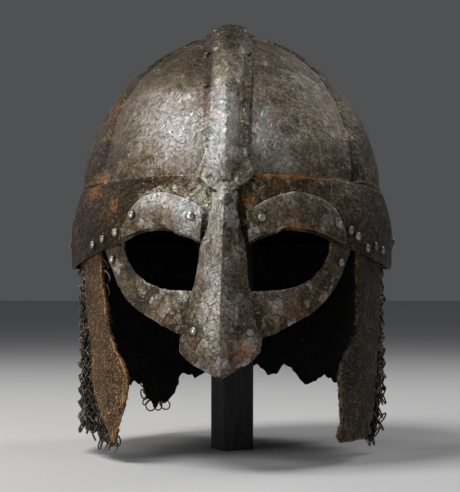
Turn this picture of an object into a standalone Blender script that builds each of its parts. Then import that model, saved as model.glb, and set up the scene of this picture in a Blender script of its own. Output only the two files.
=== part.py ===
"""A norse iron helmet on its display post, built from its separate plates.

Metres, +Z up, the face towards -Y, the origin at the middle of the post's foot.
Every plate follows one skin: a domed bowl above the brow and a slightly flared guard below it.
A place on the skin is a turn in degrees from the front, positive towards +X, and a height.
"""
import math
from collections import namedtuple

import bmesh
import bpy
from mathutils import Vector

# The skin, which is the outer face of the bowl's plates
BROW_HEIGHT = 0.177
BOWL_HEIGHT = 0.104
BOWL_HALF_WIDTH = 0.0978
BOWL_HALF_LENGTH = 0.1114
GUARD_FLARE = 0.0072
FLARE_DEPTH = 0.034
CROWN_POWER = 1.83
SHOULDER_POWER = 1.67
HELMET_FORWARD = 0.004

# Play between pieces
LAYER_GAP = 0.0006
BUTT_GAP = 0.0005
RIVET_GAP = 0.0003
TABLE_GAP = 0.0016

# Bowl
BOWL_WALL = 0.0020
BOWL_HEM = 0.017
BOWL_SEAM = 0.0012
BOWL_GRID = (11, 10)
CROWN_HOLE = 0.006
GORE_WALL = 0.0015
EAR_TURN = 90.0
GORE_SPREAD = 38.0  # turns to each side of the ear, at the band
GORE_TOP_SPREAD = 12.0  # the same at the crest
GORE_GRID = (11, 11)

# Crest
CREST_WALL = 0.0020
CREST_CROWN_HALF_WIDTH = 0.0153
CREST_BROW_HALF_WIDTH = 0.0125
CREST_FRONT_RISE = 0.0070
KEEL_RISE = 0.0050
KEEL_SHARE = 0.62
KEEL_POWER = 1.6
CREST_GRID = (6, 26)
TERMINAL_WALL = 0.0018
TERMINAL_HALF_WIDTH = 0.0165
TERMINAL_TOP = 0.015
TERMINAL_DROP = 0.0125
TERMINAL_KEEL_HALF_WIDTH = 0.0099
TERMINAL_KEEL_RISE = 0.0054
TERMINAL_GRID = (8, 7)

# Band and eyebrows
BAND_WALL = 0.0020
BAND_DEPTH = 0.055
BAND_TOP_DROP = 0.0007
BAND_SIDE_DIP = 0.0046
EYEBROW_WALL = 0.0018
EYEBROW_RISE = 0.0310
EYEBROW_SWELL = 0.0010
EYEBROW_EDGE_MARGIN = 0.0014
EYEBROW_INNER_SLANT = 2.6
EYEBROW_FOOT_SHARE = 0.755
EYEBROW_GRID = (11, 3)

# Nose and eye rims
NASAL_WALL = 0.0022
NASAL_TOP_DROP = 0.0134
NASAL_LENGTH = 0.1080
NASAL_HALF_WIDTH = 0.0235
NASAL_RIDGE = 0.0120
NASAL_SLANT = 0.0030
NASAL_POWER = 0.93
NASAL_GRID = (6, 16)
RIM_WALL = 0.0022
RIM_DEPTH = 0.0990
RIM_SWELL = 0.0005
RIM_GRID = (15, 2)

# Cheek flaps and mail
FLAP_WALL = 0.0022
FLAP_TOP_DROP = 0.031
FLAP_LENGTH = 0.133
FLAP_LEAN = 0.0080
FLAP_INSET = 0.0005
FLAP_GRID = (4, 13)
MAIL_WALL = 0.0030
MAIL_TOP_DROP = 0.035
MAIL_INSET = 0.0026
MAIL_FOLD = 0.0016
MAIL_FOLDS = 9
MAIL_COVERED_SPAN = 15.0
MAIL_COVER_FADE = 14.0
MAIL_GRID = (54, 5)

# Rivets
RIVET_RADIUS = 0.0028
RIVET_DOME = 0.0018
SHANK_RADIUS = 0.0012
EAR_RIVET_RADIUS = 0.0042
EAR_RIVET_DOME = 0.0028
CREST_RIVET_RADIUS = 0.0021
CREST_RIVET_DOME = 0.0009
DISC_RIVET_RADIUS = 0.0026
DISC_RIVET_DOME = 0.0007
RIVET_SHOULDER_RADIUS_SHARE = 0.68
RIVET_SHOULDER_RISE_SHARE = 0.72

# Post
POST_SIDE = 0.022
POST_TURN = 29.0
POST_HEAD_RADIUS = 0.020
POST_HEAD_DEPTH = 0.012
POST_EDGE = 0.0008
POST_HEAD_GAP = 0.0012

# How finely the band and the crest are divided: closer over the eyes, and at the keel's edges
MERGE = 0.000001
BAND_COLUMNS = 62
BAND_FRONT_COLUMNS = 32
BAND_FRONT_TURN = 48.0
BAND_ROWS = 3
BAND_REAR_SHARE = (BAND_COLUMNS - BAND_FRONT_COLUMNS) / 2 / BAND_COLUMNS
BAND_DIVISIONS = (
    (0.0, -180.0),
    (BAND_REAR_SHARE, -BAND_FRONT_TURN),
    (1.0 - BAND_REAR_SHARE, BAND_FRONT_TURN),
    (1.0, 180.0),
)
CREST_DIVISIONS = (
    (0.0, -1.0),
    (1.0 / 6.0, -KEEL_SHARE),
    (5.0 / 6.0, KEEL_SHARE),
    (1.0, 1.0),
)

EdgeRow = namedtuple("EdgeRow", "turn drop")
BrowRow = namedtuple("BrowRow", "turn rise")
NasalRow = namedtuple("NasalRow", "drop half_width ridge")
TerminalRow = namedtuple("TerminalRow", "drop half_width keel keel_width")
RimRow = namedtuple("RimRow", "along inner_turn inner_drop outer_turn outer_drop")
FlapRow = namedtuple("FlapRow", "drop front_turn rear_turn")
HemRow = namedtuple("HemRow", "turn length")
RivetRow = namedtuple("RivetRow", "name turn drop layer")
SeatRow = namedtuple("SeatRow", "name across up")

# The band's lower edge: over the eyes, then down to the rim at the ears; drop is a share of BAND_DEPTH
BAND_EDGE = (
    EdgeRow(turn=0.0, drop=0.78),
    EdgeRow(turn=7.5, drop=0.77),
    EdgeRow(turn=10.5, drop=0.715),
    EdgeRow(turn=14.0, drop=0.68),
    EdgeRow(turn=20.0, drop=0.618),
    EdgeRow(turn=25.0, drop=0.625),
    EdgeRow(turn=33.0, drop=0.69),
    EdgeRow(turn=38.0, drop=0.755),
    EdgeRow(turn=46.0, drop=0.81),
    EdgeRow(turn=52.0, drop=0.86),
    EdgeRow(turn=58.0, drop=0.905),
    EdgeRow(turn=66.0, drop=0.955),
    EdgeRow(turn=78.0, drop=1.0),
    EdgeRow(turn=180.0, drop=1.0),
)

# The eyebrows' upper edges above the middle of the guard; rise is a share of EYEBROW_RISE
EYEBROW_LEFT = (
    BrowRow(turn=6.8, rise=0.62),
    BrowRow(turn=9.6, rise=0.73),
    BrowRow(turn=13.4, rise=0.83),
    BrowRow(turn=17.0, rise=0.90),
    BrowRow(turn=21.5, rise=0.94),
    BrowRow(turn=26.0, rise=0.90),
    BrowRow(turn=30.0, rise=0.78),
    BrowRow(turn=32.6, rise=0.60),
    BrowRow(turn=34.8, rise=0.33),
)
EYEBROW_RIGHT = (
    BrowRow(turn=6.4, rise=0.58),
    BrowRow(turn=9.7, rise=0.67),
    BrowRow(turn=13.0, rise=0.78),
    BrowRow(turn=17.0, rise=0.87),
    BrowRow(turn=23.5, rise=0.96),
    BrowRow(turn=28.0, rise=0.92),
    BrowRow(turn=33.0, rise=0.83),
    BrowRow(turn=37.5, rise=0.64),
    BrowRow(turn=41.0, rise=0.30),
)

# The nose guard: drop of NASAL_LENGTH, half width of NASAL_HALF_WIDTH, ridge of NASAL_RIDGE
NASAL = (
    NasalRow(drop=0.0, half_width=0.31, ridge=0.36),
    NasalRow(drop=0.1, half_width=0.34, ridge=0.50),
    NasalRow(drop=0.2, half_width=0.44, ridge=0.68),
    NasalRow(drop=0.3, half_width=0.56, ridge=0.85),
    NasalRow(drop=0.42, half_width=0.62, ridge=0.96),
    NasalRow(drop=0.53, half_width=0.71, ridge=1.0),
    NasalRow(drop=0.65, half_width=0.82, ridge=0.98),
    NasalRow(drop=0.75, half_width=0.91, ridge=0.92),
    NasalRow(drop=0.79, half_width=1.0, ridge=0.88),
    NasalRow(drop=0.85, half_width=0.99, ridge=0.76),
    NasalRow(drop=0.89, half_width=0.87, ridge=0.66),
    NasalRow(drop=0.93, half_width=0.66, ridge=0.53),
    NasalRow(drop=0.97, half_width=0.33, ridge=0.37),
    NasalRow(drop=1.0, half_width=0.10, ridge=0.20),
)

# The crest's front plate: drop is a share of its length, half_width of TERMINAL_HALF_WIDTH,
# keel of its keel's rise and keel_width of TERMINAL_KEEL_HALF_WIDTH
TERMINAL = (
    TerminalRow(drop=0.0, half_width=0.72, keel=1.0, keel_width=1.0),
    TerminalRow(drop=0.28, half_width=0.76, keel=1.0, keel_width=1.0),
    TerminalRow(drop=0.42, half_width=0.94, keel=0.93, keel_width=0.85),
    TerminalRow(drop=0.56, half_width=1.0, keel=0.74, keel_width=0.55),
    TerminalRow(drop=0.68, half_width=0.95, keel=0.45, keel_width=0.38),
    TerminalRow(drop=0.80, half_width=0.76, keel=0.20, keel_width=0.36),
    TerminalRow(drop=0.92, half_width=0.46, keel=0.14, keel_width=0.34),
    TerminalRow(drop=1.0, half_width=0.24, keel=0.12, keel_width=0.32),
)

# The rims below the eyes, from the nose out and up to the temple; drops are shares of RIM_DEPTH
EYE_RIM = (
    RimRow(along=0.0, inner_turn=5.5, inner_drop=0.715, outer_turn=6.5, outer_drop=1.0),
    RimRow(along=0.12, inner_turn=13.0, inner_drop=0.712, outer_turn=14.5, outer_drop=0.972),
    RimRow(along=0.25, inner_turn=20.3, inner_drop=0.700, outer_turn=22.5, outer_drop=0.905),
    RimRow(along=0.36, inner_turn=25.4, inner_drop=0.673, outer_turn=28.6, outer_drop=0.852),
    RimRow(along=0.47, inner_turn=29.4, inner_drop=0.636, outer_turn=33.6, outer_drop=0.790),
    RimRow(along=0.57, inner_turn=32.5, inner_drop=0.588, outer_turn=37.6, outer_drop=0.722),
    RimRow(along=0.67, inner_turn=34.9, inner_drop=0.535, outer_turn=41.0, outer_drop=0.645),
    RimRow(along=0.78, inner_turn=36.6, inner_drop=0.480, outer_turn=44.0, outer_drop=0.555),
    RimRow(along=0.89, inner_turn=37.6, inner_drop=0.410, outer_turn=46.8, outer_drop=0.460),
    RimRow(along=1.0, inner_turn=38.0, inner_drop=0.325, outer_turn=49.0, outer_drop=0.345),
)

# The cheek flaps, from their tops behind the band; drop is a share of FLAP_LENGTH
FLAP_LEFT = (
    FlapRow(drop=0.0, front_turn=50.7, rear_turn=61.5),
    FlapRow(drop=0.13, front_turn=50.6, rear_turn=62.0),
    FlapRow(drop=0.29, front_turn=49.2, rear_turn=63.0),
    FlapRow(drop=0.41, front_turn=48.1, rear_turn=63.0),
    FlapRow(drop=0.53, front_turn=45.3, rear_turn=62.2),
    FlapRow(drop=0.62, front_turn=40.9, rear_turn=62.5),
    FlapRow(drop=0.70, front_turn=38.7, rear_turn=62.8),
    FlapRow(drop=0.82, front_turn=41.3, rear_turn=60.5),
    FlapRow(drop=0.88, front_turn=43.2, rear_turn=56.5),
    FlapRow(drop=0.95, front_turn=45.7, rear_turn=51.8),
    FlapRow(drop=1.0, front_turn=47.2, rear_turn=48.7),
)
FLAP_RIGHT = (
    FlapRow(drop=0.0, front_turn=50.7, rear_turn=66.5),
    FlapRow(drop=0.14, front_turn=50.6, rear_turn=67.5),
    FlapRow(drop=0.29, front_turn=51.6, rear_turn=70.0),
    FlapRow(drop=0.46, front_turn=51.8, rear_turn=71.0),
    FlapRow(drop=0.55, front_turn=48.9, rear_turn=72.0),
    FlapRow(drop=0.63, front_turn=45.6, rear_turn=73.4),
    FlapRow(drop=0.71, front_turn=44.5, rear_turn=73.6),
    FlapRow(drop=0.81, front_turn=45.4, rear_turn=72.2),
    FlapRow(drop=0.90, front_turn=46.5, rear_turn=70.2),
    FlapRow(drop=0.965, front_turn=44.9, rear_turn=67.6),
    FlapRow(drop=1.0, front_turn=46.6, rear_turn=65.0),
)

# The mail's torn hem, from the right flap round the back to the left one; length is a share of its full length
MAIL_HEM = (
    HemRow(turn=61.0, length=0.85),
    HemRow(turn=70.0, length=0.91),
    HemRow(turn=78.0, length=0.97),
    HemRow(turn=82.0, length=1.0),
    HemRow(turn=86.0, length=0.93),
    HemRow(turn=90.0, length=0.77),
    HemRow(turn=97.0, length=0.70),
    HemRow(turn=106.0, length=0.76),
    HemRow(turn=116.0, length=0.67),
    HemRow(turn=125.0, length=0.72),
    HemRow(turn=136.0, length=0.61),
    HemRow(turn=147.0, length=0.67),
    HemRow(turn=157.0, length=0.56),
    HemRow(turn=165.0, length=0.63),
    HemRow(turn=172.0, length=0.55),
    HemRow(turn=180.0, length=0.60),
    HemRow(turn=189.0, length=0.54),
    HemRow(turn=197.0, length=0.63),
    HemRow(turn=205.0, length=0.61),
    HemRow(turn=208.5, length=0.78),
    HemRow(turn=212.5, length=0.87),
    HemRow(turn=218.0, length=0.89),
    HemRow(turn=222.5, length=0.83),
    HemRow(turn=226.5, length=0.66),
    HemRow(turn=241.0, length=0.70),
    HemRow(turn=252.0, length=0.77),
    HemRow(turn=262.0, length=0.72),
    HemRow(turn=268.0, length=0.82),
    HemRow(turn=275.0, length=0.91),
    HemRow(turn=286.0, length=0.93),
    HemRow(turn=299.0, length=0.98),
    HemRow(turn=305.0, length=1.0),
    HemRow(turn=310.0, length=0.985),
)

# Rivets on the band and the eye rims; drop is a share of BAND_DEPTH
GUARD_RIVETS = (
    RivetRow(name="band_rivet_left_1", turn=-39.2, drop=0.625, layer="band"),
    RivetRow(name="band_rivet_left_2", turn=-45.6, drop=0.69, layer="band"),
    RivetRow(name="band_rivet_left_3", turn=-51.5, drop=0.75, layer="band"),
    RivetRow(name="band_rivet_right_1", turn=44.3, drop=0.60, layer="band"),
    RivetRow(name="band_rivet_right_2", turn=48.0, drop=0.66, layer="band"),
    RivetRow(name="band_rivet_right_3", turn=53.3, drop=0.79, layer="band"),
    RivetRow(name="band_rivet_right_4", turn=58.8, drop=0.76, layer="band"),
    RivetRow(name="band_rivet_right_5", turn=64.8, drop=0.80, layer="band"),
    RivetRow(name="band_rivet_rear_left", turn=-148.0, drop=0.30, layer="band"),
    RivetRow(name="band_rivet_rear_right", turn=148.0, drop=0.30, layer="band"),
    RivetRow(name="rim_rivet_left", turn=-42.4, drop=0.925, layer="rim"),
    RivetRow(name="rim_rivet_right", turn=41.2, drop=0.955, layer="rim"),
)
EAR_RIVETS = (
    RivetRow(name="ear_rivet_left", turn=-88.0, drop=0.70, layer="ear"),
    RivetRow(name="ear_rivet_right", turn=89.0, drop=0.68, layer="ear"),
)
EYEBROW_LEFT_RIVETS = (
    SeatRow(name="eyebrow_rivet_left_outer", across=0.145, up=0.62),
    SeatRow(name="eyebrow_rivet_left_inner", across=0.905, up=0.56),
)
EYEBROW_RIGHT_RIVETS = (
    SeatRow(name="eyebrow_rivet_right_inner", across=0.11, up=0.53),
    SeatRow(name="eyebrow_rivet_right_outer", across=0.90, up=0.52),
)
NASAL_RIVETS = (
    SeatRow(name="nasal_rivet_left", across=0.16, up=0.255),
    SeatRow(name="nasal_rivet_right", across=0.885, up=0.25),
)
TERMINAL_RIVETS = (
    SeatRow(name="terminal_rivet_left", across=0.205, up=0.32),
    SeatRow(name="terminal_rivet_right", across=0.81, up=0.33),
)
CREST_RIVET_ACROSS = 0.90
CREST_RIVET_STATIONS = (0.17, 0.27, 0.38)


def start_scene():
    """Empties the scene and makes one collection for the pieces and one for their cutters."""
    for thing in list(bpy.data.objects):
        bpy.data.objects.remove(thing, do_unlink=True)
    pieces = bpy.data.collections.new("norse_iron_helmet")
    cutters = bpy.data.collections.new("rivet_holes")
    guides = bpy.data.collections.new("guides")
    for collection in (pieces, cutters, guides):
        bpy.context.scene.collection.children.link(collection)
    return pieces, cutters, guides


def material(name, colour, roughness, metallic):
    """A plain finish for one piece."""
    finish = bpy.data.materials.new(name)
    finish.use_nodes = True
    shader = finish.node_tree.nodes["Principled BSDF"]
    shader.inputs["Base Color"].default_value = (*colour, 1.0)
    shader.inputs["Roughness"].default_value = roughness
    shader.inputs["Metallic"].default_value = metallic
    return finish


def mix(start, end, share):
    return start + (end - start) * share


def read_row(rows, column, place):
    """One column of a table at a place along its first column, on a smooth curve that never overshoots."""
    places = [row[0] for row in rows]
    values = [getattr(row, column) for row in rows]
    place = min(max(place, places[0]), places[-1])
    last = len(rows) - 2
    index = min(last, max(k for k in range(len(rows)) if places[k] <= place))
    slopes = [(values[k + 1] - values[k]) / (places[k + 1] - places[k]) for k in range(len(rows) - 1)]

    def bend(k):
        if k == 0 or k == len(rows) - 1:
            return slopes[min(k, last)]
        if slopes[k - 1] * slopes[k] <= 0.0:
            return 0.0
        return 2.0 * slopes[k - 1] * slopes[k] / (slopes[k - 1] + slopes[k])

    span = places[index + 1] - places[index]
    s = (place - places[index]) / span
    value = values[index] * (2 * s**3 - 3 * s**2 + 1) + values[index + 1] * (3 * s**2 - 2 * s**3)
    return value + span * (bend(index) * (s**3 - 2 * s**2 + s) + bend(index + 1) * (s**3 - s**2))


def flare_at(height):
    """How far the skin stands out below the brow."""
    depth = min(1.0, max(0.0, BROW_HEIGHT - height) / FLARE_DEPTH)
    return GUARD_FLARE * math.sin(math.pi / 2 * depth)


def flare_slope(height):
    """How fast the flare grows with the height; it is never positive."""
    depth = max(0.0, BROW_HEIGHT - height) / FLARE_DEPTH
    if depth <= 0.0 or depth >= 1.0:
        return 0.0
    return -GUARD_FLARE * math.pi / 2 / FLARE_DEPTH * math.cos(math.pi / 2 * depth)


def reach_at(height):
    """The bowl's size at a height as a share of its full size: one at the brow and none at the crown."""
    climb = min(1.0, max(0.0, (height - BROW_HEIGHT) / BOWL_HEIGHT))
    return (1.0 - climb**CROWN_POWER) ** (1.0 / SHOULDER_POWER)


def height_of_reach(reach):
    """The height at which the bowl has a given share of its full size."""
    return BROW_HEIGHT + BOWL_HEIGHT * (1.0 - min(1.0, reach) ** SHOULDER_POWER) ** (1.0 / CROWN_POWER)


def height_at(station):
    """A station runs from 0 at the brow to 1 at the crown in even steps round the dome, and below 0 down it."""
    if station <= 0.0:
        return BROW_HEIGHT + station * FLARE_DEPTH
    return BROW_HEIGHT + BOWL_HEIGHT * math.sin(math.pi / 2 * station) ** (2.0 / CROWN_POWER)


def station_at(height):
    """The station of a height, the reverse of height_at."""
    if height <= BROW_HEIGHT:
        return (height - BROW_HEIGHT) / FLARE_DEPTH
    climb = min(1.0, (height - BROW_HEIGHT) / BOWL_HEIGHT)
    return math.asin(climb ** (CROWN_POWER / 2.0)) / (math.pi / 2)


def outward(x, y, height):
    """The skin's outward direction at a point on it."""
    if height > BROW_HEIGHT:
        spread = max(1e-6, math.hypot(x / BOWL_HALF_WIDTH, y / BOWL_HALF_LENGTH))
        climb = (height - BROW_HEIGHT) / BOWL_HEIGHT
        pull = SHOULDER_POWER * spread ** (SHOULDER_POWER - 2.0)
        lean = CROWN_POWER * climb ** (CROWN_POWER - 1.0) / BOWL_HEIGHT
        return Vector((pull * x / BOWL_HALF_WIDTH**2, pull * y / BOWL_HALF_LENGTH**2, lean)).normalized()
    wide = BOWL_HALF_WIDTH + flare_at(height)
    deep = BOWL_HALF_LENGTH + flare_at(height)
    lean = -(x * x / wide**3 + y * y / deep**3) * flare_slope(height)
    return Vector((x / wide**2, y / deep**2, lean)).normalized()


def lifted(x, y, height, lift):
    """A point of the skin moved off it, and set forward of the post with the rest of the helmet."""
    point = Vector((x, y, height)) + outward(x, y, height) * lift
    point.y -= HELMET_FORWARD
    return point


def skin(turn, height, lift=0.0):
    """A point on the skin, or lifted off it, at a turn and a height."""
    angle = math.radians(turn)
    wide = BOWL_HALF_WIDTH * reach_at(height) + flare_at(height)
    deep = BOWL_HALF_LENGTH * reach_at(height) + flare_at(height)
    return lifted(wide * math.sin(angle), -deep * math.cos(angle), height, lift)


def front_skin(x, height, lift):
    """A point on the front of the skin at a distance to the side of the middle and a height."""
    wide = BOWL_HALF_WIDTH * reach_at(height) + flare_at(height)
    return skin(math.degrees(math.asin(max(-0.999, min(0.999, x / wide)))), height, lift)


def link(piece, collection):
    collection.objects.link(piece)
    return piece


def sheet(name, divisions, place, wall, finish, collection):
    """A grid laid where place(share across, share up) puts it, with its wall inwards."""
    columns, rows = divisions
    grid = bmesh.new()
    bmesh.ops.create_grid(grid, x_segments=columns, y_segments=rows, size=1.0)
    for point in grid.verts:
        point.co = place((point.co.x + 1.0) / 2.0, (point.co.y + 1.0) / 2.0)
    bmesh.ops.remove_doubles(grid, verts=grid.verts[:], dist=MERGE)
    mesh = bpy.data.meshes.new(name)
    grid.to_mesh(mesh)
    grid.free()
    mesh.materials.append(finish)
    mesh.shade_smooth()
    piece = link(bpy.data.objects.new(name, mesh), collection)
    thickness = piece.modifiers.new("wall", "SOLIDIFY")
    thickness.thickness = wall
    thickness.offset = -1.0
    thickness.use_even_offset = False
    return piece


def mirrored(place):
    """The same layout on the other side of the helmet."""
    def other_side(across, up):
        point = place(1.0 - across, up)
        point.x = -point.x
        return point
    return other_side


def band_top(turn):
    """Height of the band's upper edge, which dips a little at the ears."""
    return BROW_HEIGHT - BAND_TOP_DROP - BAND_SIDE_DIP * math.sin(math.radians(turn)) ** 2


def band_foot(turn):
    """Height of the band's lower edge, which arches over the eyes."""
    return BROW_HEIGHT - BAND_DEPTH * read_row(BAND_EDGE, "drop", abs(turn))


def bowl_quarter(start_turn):
    """One quarter of the bowl, from its hem inside the band to the hole under the crest."""
    low = station_at(BROW_HEIGHT - BOWL_HEM)
    high = station_at(height_of_reach(CROWN_HOLE / BOWL_HALF_WIDTH))

    def place(across, up):
        station = mix(low, high, up)
        height = height_at(station)
        seam = math.degrees(math.asin(BOWL_SEAM / (BOWL_HALF_WIDTH * reach_at(height))))
        return skin(mix(start_turn + seam, start_turn + 90.0 - seam, across), height)
    return place


def gore(across, up):
    """The plate over the ear, which covers the joint of two quarters from the band up to the crest."""
    side = 2.0 * across - 1.0
    foot_turn = EAR_TURN + side * GORE_SPREAD
    top_turn = EAR_TURN + side * GORE_TOP_SPREAD
    low = station_at(band_top(foot_turn) + BUTT_GAP)
    clear = CREST_CROWN_HALF_WIDTH + BUTT_GAP
    high = station_at(height_of_reach(clear / (BOWL_HALF_WIDTH * math.sin(math.radians(top_turn)))))
    return skin(mix(foot_turn, top_turn, up**2), height_at(mix(low, high, up)), LAYER_GAP + GORE_WALL)


def read_span(place, marks):
    """Straight runs between marks, each a place and a value."""
    for (start, low), (end, high) in zip(marks, marks[1:]):
        if place <= end:
            return mix(low, high, (place - start) / (end - start))
    return marks[-1][1]


def crest_half_width(along):
    return mix(CREST_BROW_HALF_WIDTH, CREST_CROWN_HALF_WIDTH, math.sin(math.pi * along))


def crest(across, up):
    """The crest band over the top: flat at its edges, with a rounded keel along its middle."""
    side = read_span(across, CREST_DIVISIONS)
    front = station_at(BROW_HEIGHT + CREST_FRONT_RISE) / 2.0
    rear = 1.0 - station_at(BROW_HEIGHT + BUTT_GAP) / 2.0
    along = mix(front, rear, up)
    x = side * crest_half_width(along)
    offset = abs(x) / BOWL_HALF_WIDTH
    top = (1.0 - offset**SHOULDER_POWER) ** (1.0 / CROWN_POWER)
    climb = top * math.sin(math.pi * along) ** (2.0 / CROWN_POWER)
    reach = (1.0 - climb**CROWN_POWER) ** (1.0 / SHOULDER_POWER)
    y = BOWL_HALF_LENGTH * math.sqrt(max(0.0, reach**2 - offset**2))
    if along < 0.5:
        y = -y
    keel = KEEL_RISE * max(0.0, 1.0 - (abs(side) / KEEL_SHARE) ** KEEL_POWER)
    return lifted(x, y, BROW_HEIGHT + BOWL_HEIGHT * climb, LAYER_GAP + CREST_WALL + keel)


def terminal(across, up):
    """The shield-shaped plate where the crest ends on the brow."""
    side = 2.0 * across - 1.0
    drop = 1.0 - up
    height = BROW_HEIGHT + TERMINAL_TOP - drop * (TERMINAL_TOP + TERMINAL_DROP)
    x = side * TERMINAL_HALF_WIDTH * read_row(TERMINAL, "half_width", drop)
    keel_half = TERMINAL_KEEL_HALF_WIDTH * read_row(TERMINAL, "keel_width", drop)
    keel = max(0.0, 1.0 - (abs(x) / keel_half) ** KEEL_POWER)
    keel *= TERMINAL_KEEL_RISE * read_row(TERMINAL, "keel", drop)
    base = LAYER_GAP + max(CREST_WALL, BAND_WALL) + LAYER_GAP + TERMINAL_WALL
    return front_skin(x, height, base + keel)


def band(across, up):
    """The brow band, one ring; its front is divided more finely, for the arches over the eyes."""
    turn = read_span(across, BAND_DIVISIONS)
    return skin(turn, mix(band_foot(turn), band_top(turn), up), LAYER_GAP + BAND_WALL)


def eyebrow(rows):
    """A raised crescent on the band over one eye."""
    def place(across, up):
        inner_turn = rows[0].turn + EYEBROW_INNER_SLANT * (1.0 - up)
        turn = mix(inner_turn, rows[-1].turn, across)
        foot = band_foot(turn) + EYEBROW_EDGE_MARGIN
        top = BROW_HEIGHT - BAND_DEPTH * EYEBROW_FOOT_SHARE + EYEBROW_RISE * read_row(rows, "rise", turn)
        swell = EYEBROW_SWELL * (1.0 - (2.0 * up - 1.0) ** 2)
        lift = 2.0 * LAYER_GAP + BAND_WALL + EYEBROW_WALL + swell
        return skin(turn, mix(foot, max(top, foot + EYEBROW_EDGE_MARGIN), up), lift)
    return place


def nasal(across, up):
    """The nose guard: a ridged plate that widens down to a pointed spade."""
    side = 2.0 * across - 1.0
    drop = 1.0 - up
    height = BROW_HEIGHT - NASAL_TOP_DROP - drop * NASAL_LENGTH
    x = side * NASAL_HALF_WIDTH * read_row(NASAL, "half_width", drop)
    over_band = LAYER_GAP + BAND_WALL
    band_end = BROW_HEIGHT - BAND_DEPTH * BAND_EDGE[0].drop
    rim_top = BROW_HEIGHT - RIM_DEPTH * EYE_RIM[0].inner_drop
    settle = min(1.0, max(0.0, (height - rim_top) / (band_end - rim_top)))
    ridge = NASAL_RIDGE * read_row(NASAL, "ridge", drop) * (1.0 - abs(side) ** NASAL_POWER)
    point = front_skin(x, height, LAYER_GAP + settle * over_band + NASAL_WALL + ridge)
    point.x -= NASAL_SLANT * math.sin(math.pi / 2 * drop)
    return point


def eye_rim(across, up):
    """The strip below one eye, from under the nose guard up to the temple, behind the band."""
    inner_turn = read_row(EYE_RIM, "inner_turn", across)
    outer_turn = read_row(EYE_RIM, "outer_turn", across)
    inner_height = BROW_HEIGHT - RIM_DEPTH * read_row(EYE_RIM, "inner_drop", across)
    outer_height = BROW_HEIGHT - RIM_DEPTH * read_row(EYE_RIM, "outer_drop", across)
    lift = -RIM_SWELL * (2.0 * up - 1.0) ** 2
    return skin(mix(outer_turn, inner_turn, up), mix(outer_height, inner_height, up), lift)


def lean_at(height):
    """How far the flaps and the mail behind them lean in under the band."""
    top = BROW_HEIGHT - BAND_DEPTH
    foot = BROW_HEIGHT - FLAP_TOP_DROP - FLAP_LENGTH
    return FLAP_LEAN * min(1.0, max(0.0, (top - height) / (top - foot)))


def cheek_flap(rows):
    """A stiff old leather flap that hangs from inside the band."""
    def place(across, up):
        drop = 1.0 - up
        height = BROW_HEIGHT - FLAP_TOP_DROP - drop * FLAP_LENGTH
        turn = mix(read_row(rows, "front_turn", drop), read_row(rows, "rear_turn", drop), across)
        return skin(turn, height, -FLAP_INSET - lean_at(height))
    return place


def flap_cover(turn):
    """One where a flap hangs in front of the mail, falling to none behind it."""
    away = min(turn - MAIL_HEM[0].turn, MAIL_HEM[-1].turn - turn)
    fade = min(1.0, max(0.0, (away - MAIL_COVERED_SPAN) / MAIL_COVER_FADE))
    return (1.0 + math.cos(math.pi * fade)) / 2.0


def mail(across, up):
    """The mail curtain, from inside the band down to a torn hem."""
    turn = mix(MAIL_HEM[0].turn, MAIL_HEM[-1].turn, across)
    rim = BROW_HEIGHT - BAND_DEPTH
    hem = rim - (rim - TABLE_GAP) * read_row(MAIL_HEM, "length", turn)
    height = mix(hem, BROW_HEIGHT - MAIL_TOP_DROP, up)
    cover = flap_cover(turn)
    behind_flap = FLAP_INSET + FLAP_WALL + LAYER_GAP + lean_at(height)
    hang = min(1.0, max(0.0, (rim - height) / rim))
    fold = MAIL_FOLD * hang * math.sin(MAIL_FOLDS * math.radians(turn)) * (1.0 - cover)
    return skin(turn, height, fold - mix(MAIL_INSET, behind_flap, cover))


def sheet_seat(place, across, up):
    """The point of a sheet at a share across and up, and the direction that it faces there."""
    step = 0.01
    point = place(across, up)
    side = place(across + step, up) - place(across - step, up)
    rise = place(across, up + step) - place(across, up - step)
    return point, side.cross(rise).normalized()


def turned(name, profile, steps, collection, finish=None):
    """A solid turned about its Z axis from a profile that runs down its outer side."""
    mesh = bpy.data.meshes.new(name)
    edges = [(k, k + 1) for k in range(len(profile) - 1)]
    mesh.from_pydata([(radius, 0.0, height) for radius, height in profile], edges, [])
    if finish:
        mesh.materials.append(finish)
    piece = link(bpy.data.objects.new(name, mesh), collection)
    screw = piece.modifiers.new("turn", "SCREW")
    screw.steps = steps
    screw.render_steps = steps
    screw.use_merge_vertices = True
    screw.merge_threshold = MERGE
    return piece


def stand_on(piece, point, direction):
    piece.location = point
    piece.rotation_mode = "QUATERNION"
    piece.rotation_quaternion = direction.to_track_quat("Z", "Y")


def rivet(name, point, direction, radius, dome, grip, pieces, cutters):
    """A rivet whose head stands on a plate and whose shank goes through the layers under it."""
    profile = (
        (0.0, dome),
        (radius * RIVET_SHOULDER_RADIUS_SHARE, dome * RIVET_SHOULDER_RISE_SHARE),
        (radius, 0.0),
        (SHANK_RADIUS, 0.0),
        (SHANK_RADIUS, -grip),
        (0.0, -grip),
    )
    finish = material(name, (0.10, 0.085, 0.075), 0.45, 0.9)
    seat = point + direction * RIVET_GAP
    stand_on(turned(name, profile, 8, pieces, finish), seat, direction)
    bore = SHANK_RADIUS + RIVET_GAP
    hole_profile = ((0.0, RIVET_GAP), (bore, RIVET_GAP), (bore, -grip - RIVET_GAP), (0.0, -grip - RIVET_GAP))
    hole = turned(name + "_hole", hole_profile, 6, cutters)
    hole.hide_render = True
    hole.display_type = "WIRE"
    stand_on(hole, seat, direction)


def drill(piece, cutters):
    """Cuts the rivet holes through a plate."""
    cut = piece.modifiers.new("rivet holes", "BOOLEAN")
    cut.operation = "DIFFERENCE"
    cut.solver = "EXACT"
    cut.operand_type = "COLLECTION"
    cut.collection = cutters


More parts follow.
